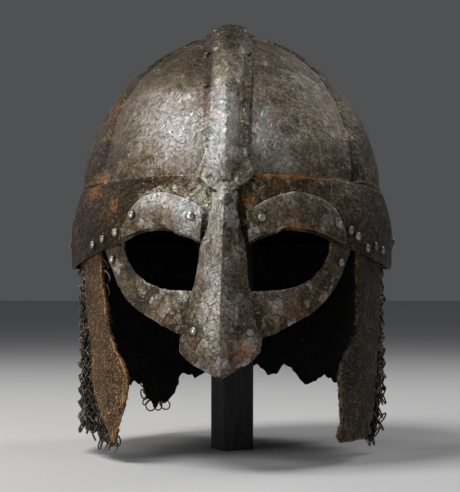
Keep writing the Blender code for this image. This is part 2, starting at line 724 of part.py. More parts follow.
def make_bowl(pieces):
    plates = []
    quarters = (
        ("bowl_front_right", 0.0),
        ("bowl_rear_right", 90.0),
        ("bowl_rear_left", 180.0),
        ("bowl_front_left", 270.0),
    )
    for name, start_turn in quarters:
        finish = material(name, (0.14, 0.12, 0.105), 0.5, 0.85)
        plates.append(sheet(name, BOWL_GRID, bowl_quarter(start_turn), BOWL_WALL, finish, pieces))
    for name, place in (("side_gore_right", gore), ("side_gore_left", mirrored(gore))):
        finish = material(name, (0.12, 0.10, 0.085), 0.55, 0.8)
        sheet(name, GORE_GRID, place, GORE_WALL, finish, pieces)
    return plates


def make_crest(pieces):
    finish = material("crest_band", (0.2, 0.19, 0.18), 0.4, 0.9)
    keel = sheet("crest_band", CREST_GRID, crest, CREST_WALL, finish, pieces)
    finish = material("crest_terminal", (0.18, 0.17, 0.16), 0.45, 0.9)
    shield = sheet("crest_terminal", TERMINAL_GRID, terminal, TERMINAL_WALL, finish, pieces)
    return keel, shield


def make_guard(pieces):
    """The brow band with what is riveted on it and behind it."""
    finish = material("brow_band", (0.11, 0.09, 0.075), 0.6, 0.75)
    plates = [sheet("brow_band", (BAND_COLUMNS, BAND_ROWS), band, BAND_WALL, finish, pieces)]
    brows = (("eyebrow_left", mirrored(eyebrow(EYEBROW_LEFT))), ("eyebrow_right", eyebrow(EYEBROW_RIGHT)))
    for name, place in brows:
        finish = material(name, (0.2, 0.18, 0.16), 0.45, 0.85)
        plates.append(sheet(name, EYEBROW_GRID, place, EYEBROW_WALL, finish, pieces))
    finish = material("nasal", (0.22, 0.2, 0.17), 0.45, 0.85)
    plates.append(sheet("nasal", NASAL_GRID, nasal, NASAL_WALL, finish, pieces))
    for name, place in (("eye_rim_right", eye_rim), ("eye_rim_left", mirrored(eye_rim))):
        finish = material(name, (0.17, 0.145, 0.12), 0.5, 0.8)
        plates.append(sheet(name, RIM_GRID, place, RIM_WALL, finish, pieces))
    return plates


def make_hangings(pieces):
    """The leather cheek flaps and the mail curtain behind them."""
    flaps = []
    sides = (("cheek_flap_left", mirrored(cheek_flap(FLAP_LEFT))), ("cheek_flap_right", cheek_flap(FLAP_RIGHT)))
    for name, place in sides:
        finish = material(name, (0.16, 0.11, 0.07), 0.85, 0.0)
        flaps.append(sheet(name, FLAP_GRID, place, FLAP_WALL, finish, pieces))
    finish = material("mail_curtain", (0.05, 0.045, 0.04), 0.55, 0.8)
    sheet("mail_curtain", MAIL_GRID, mail, MAIL_WALL, finish, pieces)
    return flaps


def make_rivets(pieces, cutters):
    band_lift = LAYER_GAP + BAND_WALL
    through_band = band_lift + max(BOWL_WALL, RIM_WALL + RIM_SWELL) + RIVET_GAP
    lifts = {"band": band_lift, "rim": 0.0, "ear": band_lift}
    grips = {"band": through_band, "rim": RIM_WALL + RIVET_GAP, "ear": BAND_WALL + RIVET_GAP}
    sizes = ((GUARD_RIVETS, RIVET_RADIUS, RIVET_DOME), (EAR_RIVETS, EAR_RIVET_RADIUS, EAR_RIVET_DOME))
    for rows, radius, dome in sizes:
        for row in rows:
            height = BROW_HEIGHT - BAND_DEPTH * row.drop
            point = skin(row.turn, height, lifts[row.layer])
            direction = (skin(row.turn, height, lifts[row.layer] + radius) - point).normalized()
            rivet(row.name, point, direction, radius, dome, grips[row.layer], pieces, cutters)
    through_brow = EYEBROW_WALL + LAYER_GAP + BAND_WALL + EYEBROW_SWELL + RIVET_GAP
    through_nose = NASAL_WALL + LAYER_GAP + RIM_WALL + RIVET_GAP + NASAL_WALL
    through_terminal = TERMINAL_WALL + LAYER_GAP + BAND_WALL + RIVET_GAP
    seated = (
        (EYEBROW_LEFT_RIVETS, mirrored(eyebrow(EYEBROW_LEFT)), RIVET_RADIUS, RIVET_DOME, through_brow),
        (EYEBROW_RIGHT_RIVETS, eyebrow(EYEBROW_RIGHT), RIVET_RADIUS, RIVET_DOME, through_brow),
        (NASAL_RIVETS, nasal, RIVET_RADIUS, RIVET_DOME, through_nose),
        (TERMINAL_RIVETS, terminal, DISC_RIVET_RADIUS, DISC_RIVET_DOME, through_terminal),
    )
    for rows, place, radius, dome, grip in seated:
        for row in rows:
            point, direction = sheet_seat(place, row.across, row.up)
            rivet(row.name, point, direction, radius, dome, grip, pieces, cutters)
    grip = CREST_WALL + LAYER_GAP + BOWL_WALL + RIVET_GAP
    for side, side_name in ((-1.0, "left"), (1.0, "right")):
        for number, station in enumerate(CREST_RIVET_STATIONS):
            point, direction = sheet_seat(crest, 0.5 + side * CREST_RIVET_ACROSS / 2.0, station)
            name = "crest_rivet_%s_%d" % (side_name, number + 1)
            rivet(name, point, direction, CREST_RIVET_RADIUS, CREST_RIVET_DOME, grip, pieces, cutters)


def make_post(pieces, guides):
    """A plain square post whose round head fills the crown from below."""
    finish = material("stand_post", (0.035, 0.033, 0.032), 0.7, 0.0)
    profile = [(0.0, BROW_HEIGHT + BOWL_HEIGHT - BOWL_WALL - POST_HEAD_GAP)]
    rings = 3
    for ring in range(1, rings + 1):
        height = height_of_reach(POST_HEAD_RADIUS / BOWL_HALF_WIDTH * ring / rings)
        edge = skin(90.0, height, -BOWL_WALL - POST_HEAD_GAP)
        profile.append((edge.x, edge.z))
    rim_radius, rim_height = profile[-1]
    profile.append((rim_radius, rim_height - POST_HEAD_DEPTH))
    profile.append((0.0, rim_height - POST_HEAD_DEPTH))
    head = turned("post_head", profile, 16, guides)
    head.location.y = -HELMET_FORWARD
    head.hide_render = True
    head.display_type = "WIRE"
    top = rim_height - POST_HEAD_DEPTH / 2.0
    block = bmesh.new()
    bmesh.ops.create_cube(block, size=1.0)
    bmesh.ops.scale(block, vec=(POST_SIDE, POST_SIDE, top), verts=block.verts[:])
    bmesh.ops.translate(block, vec=(0.0, 0.0, top / 2.0), verts=block.verts[:])
    mesh = bpy.data.meshes.new("stand_post")
    block.to_mesh(mesh)
    block.free()
    mesh.materials.append(finish)
    post = link(bpy.data.objects.new("stand_post", mesh), pieces)
    post.rotation_euler.z = math.radians(POST_TURN)
    corners = post.modifiers.new("worn corners", "BEVEL")
    corners.width = POST_EDGE
    corners.segments = 1
    join = post.modifiers.new("head", "BOOLEAN")
    join.operation = "UNION"
    join.solver = "EXACT"
    join.object = head


def main():
    pieces, cutters, guides = start_scene()
    bowl_plates = make_bowl(pieces)
    crest_plates = make_crest(pieces)
    guard_plates = make_guard(pieces)
    flaps = make_hangings(pieces)
    make_rivets(pieces, cutters)
    make_post(pieces, guides)
    for piece in (*bowl_plates, *crest_plates, *guard_plates, *flaps):
        drill(piece, cutters)


main()
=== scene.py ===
"""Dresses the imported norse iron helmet: worn plates, rivets, mail rings, leather flaps and the post.

Metres, +Z up, the face towards -Y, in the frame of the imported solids.
Every plate follows the same skin as the solids: a domed bowl above the brow and a flared guard below it.
A place on the skin is a turn in degrees from the front, positive towards +X, and a height.
"""
import math
import random
from collections import namedtuple

import bmesh
import bpy
from bpy.props import FloatProperty, FloatVectorProperty, IntProperty, PointerProperty
from bpy.types import Operator, Panel, PropertyGroup
from mathutils import Matrix, Vector, noise


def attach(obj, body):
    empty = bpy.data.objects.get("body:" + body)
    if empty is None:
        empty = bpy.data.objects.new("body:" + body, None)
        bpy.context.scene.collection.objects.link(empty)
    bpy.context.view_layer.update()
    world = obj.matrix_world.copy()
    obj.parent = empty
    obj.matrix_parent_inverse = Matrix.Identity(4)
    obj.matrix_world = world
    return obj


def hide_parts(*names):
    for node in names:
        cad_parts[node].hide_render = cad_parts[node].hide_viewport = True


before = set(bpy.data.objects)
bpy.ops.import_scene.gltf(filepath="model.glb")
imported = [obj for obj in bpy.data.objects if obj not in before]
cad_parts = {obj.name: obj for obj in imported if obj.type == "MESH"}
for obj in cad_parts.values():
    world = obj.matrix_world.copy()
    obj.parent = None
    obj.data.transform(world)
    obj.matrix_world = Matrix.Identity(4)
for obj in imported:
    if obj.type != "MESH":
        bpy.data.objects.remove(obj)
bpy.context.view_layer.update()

bl_info = {
    "name": "Norse iron helmet",
    "version": (1, 0, 0),
    "blender": (4, 5, 0),
    "location": "View3D > Sidebar > Helmet",
    "description": "Dresses the solids of a rusted iron helmet on its post",
    "category": "Add Mesh",
}

BODY = "root"

# The skin, as the solids have it
BROW_HEIGHT = 0.177
BOWL_HEIGHT = 0.104
BOWL_HALF_WIDTH = 0.0978
BOWL_HALF_LENGTH = 0.1114
GUARD_FLARE = 0.0072
FLARE_DEPTH = 0.034
CROWN_POWER = 1.83
SHOULDER_POWER = 1.67
HELMET_FORWARD = 0.004
LAYER_GAP = 0.0006
BUTT_GAP = 0.0005
PLATE_WALL = 0.0020
MERGE = 0.000002

# Bowl and crest
BOWL_HEM = 0.017
BOWL_SEAM = 0.0012
CROWN_HOLE = 0.006
GORE_WALL = 0.0015
EAR_TURN = 90.0
GORE_SPREAD = 38.0
GORE_TOP_SPREAD = 12.0
CREST_CROWN_HALF_WIDTH = 0.0153
CREST_BROW_HALF_WIDTH = 0.0125
CREST_FRONT_RISE = 0.0070
KEEL_RISE = 0.0050
KEEL_SHARE = 0.62
KEEL_POWER = 1.6
TERMINAL_WALL = 0.0018
TERMINAL_HALF_WIDTH = 0.0165
TERMINAL_TOP = 0.015
TERMINAL_DROP = 0.0125
TERMINAL_KEEL_HALF_WIDTH = 0.0099
TERMINAL_KEEL_RISE = 0.0054
GORE_SINK = 0.0019
GORE_SINK_REACH = 0.0060

# Small forms of the crest and its end plate: bosses as station and place, the rest seen from the front
OVER_CROWN_START = 0.238
OVER_CROWN_FADE = 0.030
CREST_BOSSES = ((0.17, 0.43), (0.27, 0.47), (0.38, 0.55))
BOSS_REACH = 0.0016
BOSS_RISE = 0.0006
CREST_SPAN = 0.33
LOBE_PLACES = (-0.0094, 0.0096)
LOBE_HEIGHT = 0.1745
LOBE_RADIUS = 0.0054
LOBE_RISE = 0.00065
GROOVE_RADIUS = LOBE_RADIUS + 0.0004
HOLLOW_X = 0.0002
HOLLOW_Z = 0.1722
HOLLOW_HALF_WIDTH = 0.0030
HOLLOW_HALF_HEIGHT = 0.0012

# Wear of every plate's edges
CHIP_REACH = 0.006
LIP_REACH = 0.0015
ROUNDING = 0.00045
ROUNDING_REACH = 0.0016
EDGE_BEVEL = 0.00035

# Band, eyebrows, nose and eye rims
BAND_DEPTH = 0.055
BAND_TOP_DROP = 0.0007
BAND_SIDE_DIP = 0.0046
EYEBROW_WALL = 0.0018
EYEBROW_RISE = 0.0310
EYEBROW_SWELL = 0.0010
EYEBROW_EDGE_MARGIN = 0.0014
EYEBROW_INNER_SLANT = 2.6
EYEBROW_WORN_SLANT = 1.0
EYEBROW_FOOT_SHARE = 0.755
NASAL_WALL = 0.0022
NASAL_TOP_DROP = 0.0134
NASAL_LENGTH = 0.1080
NASAL_HALF_WIDTH = 0.0235
NASAL_RIDGE = 0.0120
NASAL_SLANT = 0.0030
NASAL_POWER = 0.93
RIM_DEPTH = 0.0990
RIM_SWELL = 0.0005

# Cheek flaps, mail and post
FLAP_WALL = 0.0022
FLAP_TOP_DROP = 0.031
FLAP_LENGTH = 0.133
FLAP_LEAN = 0.0080
FLAP_INSET = 0.0005
MAIL_WALL = 0.0030
MAIL_TOP_DROP = 0.035
MAIL_INSET = 0.0026
MAIL_FOLD = 0.0016
MAIL_FOLDS = 9
MAIL_COVERED_SPAN = 15.0
MAIL_COVER_FADE = 14.0
LINING_WALL = 0.0008
LINING_SPECKS = 3.2
LINING_ENDS = 6.0
TABLE_GAP = 0.0016
POST_SIDE = 0.022
POST_TURN = 29.0
POST_HEAD_RADIUS = 0.020
POST_HEAD_DEPTH = 0.012
POST_HEAD_GAP = 0.0012
POST_EDGE = 0.0012

# How unevenly the rings hang, and how the flaps' edges fray
RING_SEED = 7
RINGS_MISSING = 0.015
RING_TIP = 0.22
RING_SWING = 0.35
FRAY_COUNT = 420
FRAY_LENGTHS = (0.0012, 0.0038)
FRAY_RADII = (0.00022, 0.00005)

# Rivets, each size as a radius and a dome's height
RIVET_GAP = 0.0003
RIVET_STEPS = 22
FLAT_DOME = 0.001
RIVET = (0.0028, 0.0018)
EAR_RIVET = (0.0042, 0.0028)
CREST_RIVET = (0.0021, 0.0009)
DISC_RIVET = (0.0026, 0.0007)

BrowRow = namedtuple("BrowRow", "turn rise")
EdgeRow = namedtuple("EdgeRow", "turn drop")
NasalRow = namedtuple("NasalRow", "drop half_width ridge")
TerminalRow = namedtuple("TerminalRow", "drop half_width keel keel_width")
RimRow = namedtuple("RimRow", "along inner_turn inner_drop outer_turn outer_drop")
FlapRow = namedtuple("FlapRow", "drop front_turn rear_turn")
HemRow = namedtuple("HemRow", "turn length")
Spot = namedtuple("Spot", "x z half_width half_height strength")
Lamp = namedtuple("Lamp", "name place size power colour")

# The band's lower edge, as a share of its depth
BAND_EDGE = [EdgeRow(*row) for row in (
    (0.0, 0.78), (7.5, 0.77), (10.5, 0.715), (14.0, 0.68), (20.0, 0.618), (25.0, 0.625), (33.0, 0.69),
    (38.0, 0.755), (46.0, 0.81), (52.0, 0.86), (58.0, 0.905), (66.0, 0.955), (78.0, 1.0), (180.0, 1.0),
)]

# The eyebrows' upper edges
EYEBROW_LEFT = [BrowRow(*row) for row in (
    (6.8, 0.62), (9.6, 0.73), (13.4, 0.83), (17.0, 0.90), (21.5, 0.94), (26.0, 0.90), (30.0, 0.78),
    (32.6, 0.60), (34.8, 0.33),
)]
EYEBROW_RIGHT = [BrowRow(*row) for row in (
    (6.4, 0.58), (9.7, 0.67), (13.0, 0.78), (17.0, 0.87), (23.5, 0.96), (28.0, 0.92), (33.0, 0.83),
    (37.5, 0.64), (41.0, 0.30),
)]

# The nose guard from its top to its point
NASAL = [NasalRow(*row) for row in (
    (0.0, 0.31, 0.36), (0.1, 0.34, 0.50), (0.2, 0.44, 0.68), (0.3, 0.56, 0.85), (0.42, 0.62, 0.96),
    (0.53, 0.71, 1.0), (0.65, 0.82, 0.98), (0.75, 0.91, 0.92), (0.79, 1.0, 0.88), (0.85, 0.99, 0.76),
    (0.89, 0.87, 0.66), (0.93, 0.66, 0.53), (0.97, 0.33, 0.37), (1.0, 0.10, 0.20),
)]

# The crest's end plate from its top to its tongue
TERMINAL = [TerminalRow(*row) for row in (
    (0.0, 0.72, 1.0, 1.0), (0.28, 0.76, 1.0, 1.0), (0.42, 0.94, 0.93, 0.85), (0.56, 1.0, 0.74, 0.55),
    (0.68, 0.95, 0.45, 0.38), (0.80, 0.76, 0.20, 0.36), (0.92, 0.46, 0.14, 0.34), (1.0, 0.24, 0.12, 0.32),
)]

# The rims below the eyes from the nose to the temple
EYE_RIM = [RimRow(*row) for row in (
    (0.0, 5.5, 0.715, 6.5, 1.0), (0.12, 13.0, 0.712, 14.5, 0.972), (0.25, 20.3, 0.700, 22.5, 0.905),
    (0.36, 25.4, 0.673, 28.6, 0.852), (0.47, 29.4, 0.636, 33.6, 0.790), (0.57, 32.5, 0.588, 37.6, 0.722),
    (0.67, 34.9, 0.535, 41.0, 0.645), (0.78, 36.6, 0.480, 44.0, 0.555), (0.89, 37.6, 0.410, 46.8, 0.460),
    (1.0, 38.0, 0.325, 49.0, 0.345),
)]

# The cheek flaps from their tops down
FLAP_LEFT = [FlapRow(*row) for row in (
    (0.0, 50.7, 61.5), (0.13, 50.6, 62.0), (0.29, 49.2, 63.0), (0.41, 48.1, 63.0), (0.53, 45.3, 62.2),
    (0.62, 40.9, 62.5), (0.70, 38.7, 62.8), (0.82, 41.3, 60.5), (0.88, 43.2, 56.5), (0.95, 45.7, 51.8),
    (1.0, 47.2, 48.7),
)]
FLAP_RIGHT = [FlapRow(*row) for row in (
    (0.0, 50.7, 66.5), (0.14, 50.6, 67.5), (0.29, 51.6, 70.0), (0.46, 51.8, 71.0), (0.55, 48.9, 72.0),
    (0.63, 45.6, 73.4), (0.71, 44.5, 73.6), (0.81, 45.4, 72.2), (0.90, 46.5, 70.2), (0.965, 44.9, 67.6),
    (1.0, 46.6, 65.0),
)]

# The mail's torn hem from the right flap round the back to the left one
MAIL_HEM = [HemRow(*row) for row in (
    (61.0, 0.85), (70.0, 0.91), (78.0, 0.97), (82.0, 1.0), (86.0, 0.93), (90.0, 0.77), (97.0, 0.70),
    (106.0, 0.76), (116.0, 0.67), (125.0, 0.72), (136.0, 0.61), (147.0, 0.67), (157.0, 0.56), (165.0, 0.63),
    (172.0, 0.55), (180.0, 0.60), (189.0, 0.54), (197.0, 0.63), (205.0, 0.61), (208.5, 0.78), (212.5, 0.87),
    (218.0, 0.89), (222.5, 0.83), (226.5, 0.66), (241.0, 0.70), (252.0, 0.77), (262.0, 0.72),
    (268.0, 0.82), (275.0, 0.91), (286.0, 0.93), (299.0, 0.98), (305.0, 1.0), (310.0, 0.985),
)]

# Where bare bright iron and orange rust show on the front, seen from straight ahead. The bright spots are
# partly worn iron and partly painted highlight where the lamps strike the dome, crest and nose. The one on
# the band beside the nose paints light into its shadow, and those below zero paint shade over the edges of
# the dome's highlight.
WORN_AND_LIT_SPOTS = [Spot(*row) for row in (
    (-0.028, 0.201, 0.022, 0.026, 0.50), (-0.044, 0.222, 0.025, 0.022, 0.25),
    (0.020, 0.207, 0.013, 0.026, 0.40), (0.036, 0.192, 0.020, 0.018, 0.28),
    (-0.004, 0.208, 0.009, 0.036, 0.55), (-0.040, 0.162, 0.025, 0.008, 0.60),
    (-0.010, 0.158, 0.009, 0.014, 0.40), (-0.006, 0.105, 0.008, 0.048, 0.45),
    (0.026, 0.101, 0.014, 0.008, 0.25), (-0.033, 0.098, 0.014, 0.008, 0.22),
    (-0.023, 0.152, 0.009, 0.012, 0.50), (-0.046, 0.250, 0.034, 0.018, -0.28),
    (-0.076, 0.203, 0.013, 0.030, -0.30),
)]
RUST_SPOTS = [Spot(*row) for row in (
    (0.046, 0.1765, 0.030, 0.0022, 0.72), (-0.079, 0.179, 0.009, 0.004, 0.50),
    (-0.086, 0.170, 0.006, 0.008, 0.30), (-0.070, 0.161, 0.004, 0.007, 0.32),
    (0.014, 0.160, 0.005, 0.005, 0.38), (0.043, 0.146, 0.014, 0.004, 0.50),
    (0.070, 0.188, 0.006, 0.006, 0.35), (0.009, 0.071, 0.010, 0.007, 0.55),
    (-0.050, 0.089, 0.018, 0.005, 0.40), (0.048, 0.092, 0.016, 0.005, 0.35),
    (-0.016, 0.075, 0.010, 0.007, 0.35), (0.064, 0.218, 0.014, 0.014, 0.30),
    (-0.070, 0.216, 0.012, 0.022, 0.35),
)]

# The camera, which takes the photograph's frame of 460 by 492
CAMERA_DISTANCE = 0.900
CAMERA_HEIGHT = 0.105
CAMERA_TURN = 2.0
CAMERA_ASIDE = -0.00136
CAMERA_PITCH = 2.08
CAMERA_LENS = 96.8
CAMERA_SENSOR = 36.0
CAMERA_NEAR = 0.05

# The soft lamps, which all face a point inside the helmet
LAMP_AIM_HEIGHT = 0.15
LAMPS = [Lamp(*row) for row in (
    ("key", (-0.46, -0.30, 1.12), 0.42, 9.5, (1.0, 0.99, 0.97)),
    ("side", (-1.05, -0.76, 0.26), 0.45, 8.5, (1.0, 0.98, 0.95)),
    ("fill", (1.15, -0.85, 0.75), 0.80, 2.6, (0.95, 0.97, 1.0)),
    ("back_left", (-0.90, 0.60, 0.75), 0.50, 2.2, (1.0, 0.97, 0.92)),
    ("back_right", (0.75, 0.60, 0.95), 0.50, 3.6, (1.0, 0.98, 0.95)),
)]
FLOOR_SIZE = 20.0
FLOOR_COLOUR = (0.62, 0.62, 0.63, 1.0)
SKY_COLOUR = (0.62, 0.63, 0.66, 1.0)
SKY_STRENGTH = 0.13


class IronFinish(PropertyGroup):
    """Colours and depths of the worn iron."""

    bare: FloatVectorProperty(name="Bare iron", description="Iron where the rust is rubbed off",
                              subtype="COLOR", size=3, default=(0.490, 0.488, 0.478))
    brown: FloatVectorProperty(name="Brown rust", description="The thin brown rust all over",
                               subtype="COLOR", size=3, default=(0.134, 0.096, 0.051))
    dark: FloatVectorProperty(name="Dark rust", description="The oldest rust in creases and pits",
                              subtype="COLOR", size=3, default=(0.016, 0.012, 0.007))
    orange: FloatVectorProperty(name="Orange rust", description="Fresh rust in patches",
                                subtype="COLOR", size=3, default=(0.300, 0.130, 0.036))
    dents: FloatProperty(name="Dents", description="Depth of the wide dents",
                         default=0.0008, unit="LENGTH")
    flakes: FloatProperty(name="Flakes", description="Height of the rust flakes",
                          default=0.00040, unit="LENGTH")
    chips: FloatProperty(name="Chips", description="How far the edges are chipped",
                         default=0.0007, unit="LENGTH")
    cell: FloatProperty(name="Cell", description="Size of the plates' cells",
                        default=0.0014, unit="LENGTH")


class MailSize(PropertyGroup):
    """Sizes of the mail's rings."""

    radius: FloatProperty(name="Ring radius", description="To the middle of the wire",
                          default=0.0040, unit="LENGTH")
    wire: FloatProperty(name="Wire radius", description="Half the wire's thickness",
                        default=0.00056, unit="LENGTH")
    across: FloatProperty(name="Ring pitch", description="From ring to ring",
                          default=0.0076, unit="LENGTH")
    down: FloatProperty(name="Row pitch", description="From row to row",
                        default=0.0043, unit="LENGTH")
    lean: FloatProperty(name="Lean", description="How far each row leans",
                        default=math.radians(25), unit="ROTATION")
    segments: IntProperty(name="Segments", description="Steps round each ring", default=10, min=6)


class LeatherFinish(PropertyGroup):
    """Colours of the cheek flaps and the neck lining; the lining's near-black is also painted shade inside
    the curtain and behind the flaps.
    """

    left: FloatVectorProperty(name="Left flap", description="The tan flap", subtype="COLOR", size=3,
                              default=(0.105, 0.060, 0.024))
    right: FloatVectorProperty(name="Right flap", description="The brown flap", subtype="COLOR", size=3,
                               default=(0.036, 0.025, 0.015))
    # Near black: the lining's own dark and painted shade inside the curtain and behind the flaps
    lining_and_shade: FloatVectorProperty(name="Lining", description="The dark lining", subtype="COLOR", size=3,
                                default=(0.009, 0.0075, 0.006))


def mix(start, end, share):
    return start + (end - start) * share


def clamp(value):
    return min(1.0, max(0.0, value))


def read_row(rows, column, place):
    """One column of a table at a place along its first column, on a smooth curve that never overshoots."""
    places = [row[0] for row in rows]
    values = [getattr(row, column) for row in rows]
    place = min(max(place, places[0]), places[-1])
    last = len(rows) - 2
    index = min(last, max(k for k in range(len(rows)) if places[k] <= place))
    slopes = [(values[k + 1] - values[k]) / (places[k + 1] - places[k]) for k in (index - 1, index, index + 1)
              if 0 <= k <= last]
    here = 0 if index == 0 else 1

    def bend(k):
        if k < 0 or k >= len(slopes) - 1:
            return slopes[min(max(k, 0), len(slopes) - 1)]
        if slopes[k] * slopes[k + 1] <= 0.0:
            return 0.0
        return 2.0 * slopes[k] * slopes[k + 1] / (slopes[k] + slopes[k + 1])

    span = places[index + 1] - places[index]
    s = (place - places[index]) / span
    value = values[index] * (2 * s**3 - 3 * s**2 + 1) + values[index + 1] * (3 * s**2 - 2 * s**3)
    return value + span * (bend(here - 1) * (s**3 - 2 * s**2 + s) + bend(here) * (s**3 - s**2))


def flare_at(height):
    depth = clamp((BROW_HEIGHT - height) / FLARE_DEPTH)
    return GUARD_FLARE * math.sin(math.pi / 2 * depth)


def flare_slope(height):
    depth = (BROW_HEIGHT - height) / FLARE_DEPTH
    if depth <= 0.0 or depth >= 1.0:
        return 0.0
    return -GUARD_FLARE * math.pi / 2 / FLARE_DEPTH * math.cos(math.pi / 2 * depth)


def reach_at(height):
    """The bowl's size at a height as a share of its full size."""
    climb = clamp((height - BROW_HEIGHT) / BOWL_HEIGHT)
    return (1.0 - climb**CROWN_POWER) ** (1.0 / SHOULDER_POWER)


def height_of_reach(reach):
    return BROW_HEIGHT + BOWL_HEIGHT * (1.0 - min(1.0, reach) ** SHOULDER_POWER) ** (1.0 / CROWN_POWER)


def height_at(station):
    """A station runs from 0 at the brow to 1 at the crown, and below 0 down the guard."""
    if station <= 0.0:
        return BROW_HEIGHT + station * FLARE_DEPTH
    return BROW_HEIGHT + BOWL_HEIGHT * math.sin(math.pi / 2 * min(1.0, station)) ** (2.0 / CROWN_POWER)


def station_at(height):
    if height <= BROW_HEIGHT:
        return (height - BROW_HEIGHT) / FLARE_DEPTH
    climb = clamp((height - BROW_HEIGHT) / BOWL_HEIGHT)
    return math.asin(climb ** (CROWN_POWER / 2.0)) / (math.pi / 2)


def outward(x, y, height):
    """The skin's outward direction at a point on it."""
    if height > BROW_HEIGHT:
        spread = max(1e-6, math.hypot(x / BOWL_HALF_WIDTH, y / BOWL_HALF_LENGTH))
        climb = (height - BROW_HEIGHT) / BOWL_HEIGHT
        pull = SHOULDER_POWER * spread ** (SHOULDER_POWER - 2.0)
        lean = CROWN_POWER * climb ** (CROWN_POWER - 1.0) / BOWL_HEIGHT
        return Vector((pull * x / BOWL_HALF_WIDTH**2, pull * y / BOWL_HALF_LENGTH**2, lean)).normalized()
    wide = BOWL_HALF_WIDTH + flare_at(height)
    deep = BOWL_HALF_LENGTH + flare_at(height)
    lean = -(x * x / wide**3 + y * y / deep**3) * flare_slope(height)
    return Vector((x / wide**2, y / deep**2, lean)).normalized()


def lifted(x, y, height, lift):
    point = Vector((x, y, height)) + outward(x, y, height) * lift
    point.y -= HELMET_FORWARD
    return point


def skin(turn, height, lift=0.0):
    """A point on the skin, or lifted off it, at a turn and a height."""
    angle = math.radians(turn)
    wide = BOWL_HALF_WIDTH * reach_at(height) + flare_at(height)
    deep = BOWL_HALF_LENGTH * reach_at(height) + flare_at(height)
    return lifted(wide * math.sin(angle), -deep * math.cos(angle), height, lift)


def front_skin(x, height, lift):
    wide = BOWL_HALF_WIDTH * reach_at(height) + flare_at(height)
    return skin(math.degrees(math.asin(max(-0.999, min(0.999, x / wide)))), height, lift)


def mirrored(place):
    """The same layout on the other side of the helmet."""
    def other_side(across, up):
        point = place(1.0 - across, up)
        point.x = -point.x
        return point
    return other_side


def band_top(turn):
    return BROW_HEIGHT - BAND_TOP_DROP - BAND_SIDE_DIP * math.sin(math.radians(turn)) ** 2


def band_foot(turn):
    return BROW_HEIGHT - BAND_DEPTH * read_row(BAND_EDGE, "drop", abs(turn))


def bowl_quarter(start_turn):
    low = station_at(BROW_HEIGHT - BOWL_HEM)
    high = station_at(height_of_reach(CROWN_HOLE / BOWL_HALF_WIDTH))

    def place(across, up):
        height = height_at(min(high, mix(low, high, up)))
        seam = math.degrees(math.asin(BOWL_SEAM / (BOWL_HALF_WIDTH * reach_at(height))))
        return skin(mix(start_turn + seam, start_turn + 90.0 - seam, across), height)
    return place


def gore(across, up):
    side = 2.0 * across - 1.0
    foot_turn = EAR_TURN + side * GORE_SPREAD
    top_turn = EAR_TURN + side * GORE_TOP_SPREAD
    low = station_at(band_top(foot_turn) + BUTT_GAP)
    clear = CREST_CROWN_HALF_WIDTH + BUTT_GAP
    high = station_at(height_of_reach(clear / (BOWL_HALF_WIDTH * math.sin(math.radians(top_turn)))))
    return skin(mix(foot_turn, top_turn, up**2), height_at(mix(low, high, up)), LAYER_GAP + GORE_WALL)


def crest(across, up):
    """The crest over the top: flat at its edges, with a rounded keel along its middle."""
    side = 2.0 * across - 1.0
    front = station_at(BROW_HEIGHT + CREST_FRONT_RISE) / 2.0
    rear = 1.0 - station_at(BROW_HEIGHT + BUTT_GAP) / 2.0
    along = mix(front, rear, up)
    half_width = mix(CREST_BROW_HALF_WIDTH, CREST_CROWN_HALF_WIDTH, math.sin(math.pi * along))
    x = side * half_width
    offset = abs(x) / BOWL_HALF_WIDTH
    top = (1.0 - offset**SHOULDER_POWER) ** (1.0 / CROWN_POWER)
    climb = top * math.sin(math.pi * along) ** (2.0 / CROWN_POWER)
    reach = (1.0 - climb**CROWN_POWER) ** (1.0 / SHOULDER_POWER)
    y = BOWL_HALF_LENGTH * math.sqrt(max(0.0, reach**2 - offset**2))
    if along < 0.5:
        y = -y
    keel = KEEL_RISE * max(0.0, 1.0 - (abs(side) / KEEL_SHARE) ** KEEL_POWER)
    return lifted(x, y, BROW_HEIGHT + BOWL_HEIGHT * climb, LAYER_GAP + PLATE_WALL + keel)


def terminal(across, up):
    """The shield-shaped plate where the crest ends on the brow."""
    side = 2.0 * across - 1.0
    drop = 1.0 - up
    height = BROW_HEIGHT + TERMINAL_TOP - drop * (TERMINAL_TOP + TERMINAL_DROP)
    x = side * TERMINAL_HALF_WIDTH * read_row(TERMINAL, "half_width", drop)
    keel_half = TERMINAL_KEEL_HALF_WIDTH * read_row(TERMINAL, "keel_width", drop)
    keel = max(0.0, 1.0 - (abs(x) / keel_half) ** KEEL_POWER)
    keel *= TERMINAL_KEEL_RISE * read_row(TERMINAL, "keel", drop)
    return front_skin(x, height, 2.0 * LAYER_GAP + PLATE_WALL + TERMINAL_WALL + keel)


def band(across, up):
    turn = mix(-180.0, 180.0, across)
    return skin(turn, mix(band_foot(turn), band_top(turn), up), LAYER_GAP + PLATE_WALL)


def eyebrow(rows, slant=EYEBROW_INNER_SLANT):
    def place(across, up):
        inner_turn = rows[0].turn + slant * (1.0 - up)
        turn = mix(inner_turn, rows[-1].turn, across)
        foot = band_foot(turn) + EYEBROW_EDGE_MARGIN
        top = BROW_HEIGHT - BAND_DEPTH * EYEBROW_FOOT_SHARE + EYEBROW_RISE * read_row(rows, "rise", turn)
        swell = EYEBROW_SWELL * (1.0 - (2.0 * up - 1.0) ** 2)
        lift = 2.0 * LAYER_GAP + PLATE_WALL + EYEBROW_WALL + swell
        return skin(turn, mix(foot, max(top, foot + EYEBROW_EDGE_MARGIN), up), lift)
    return place


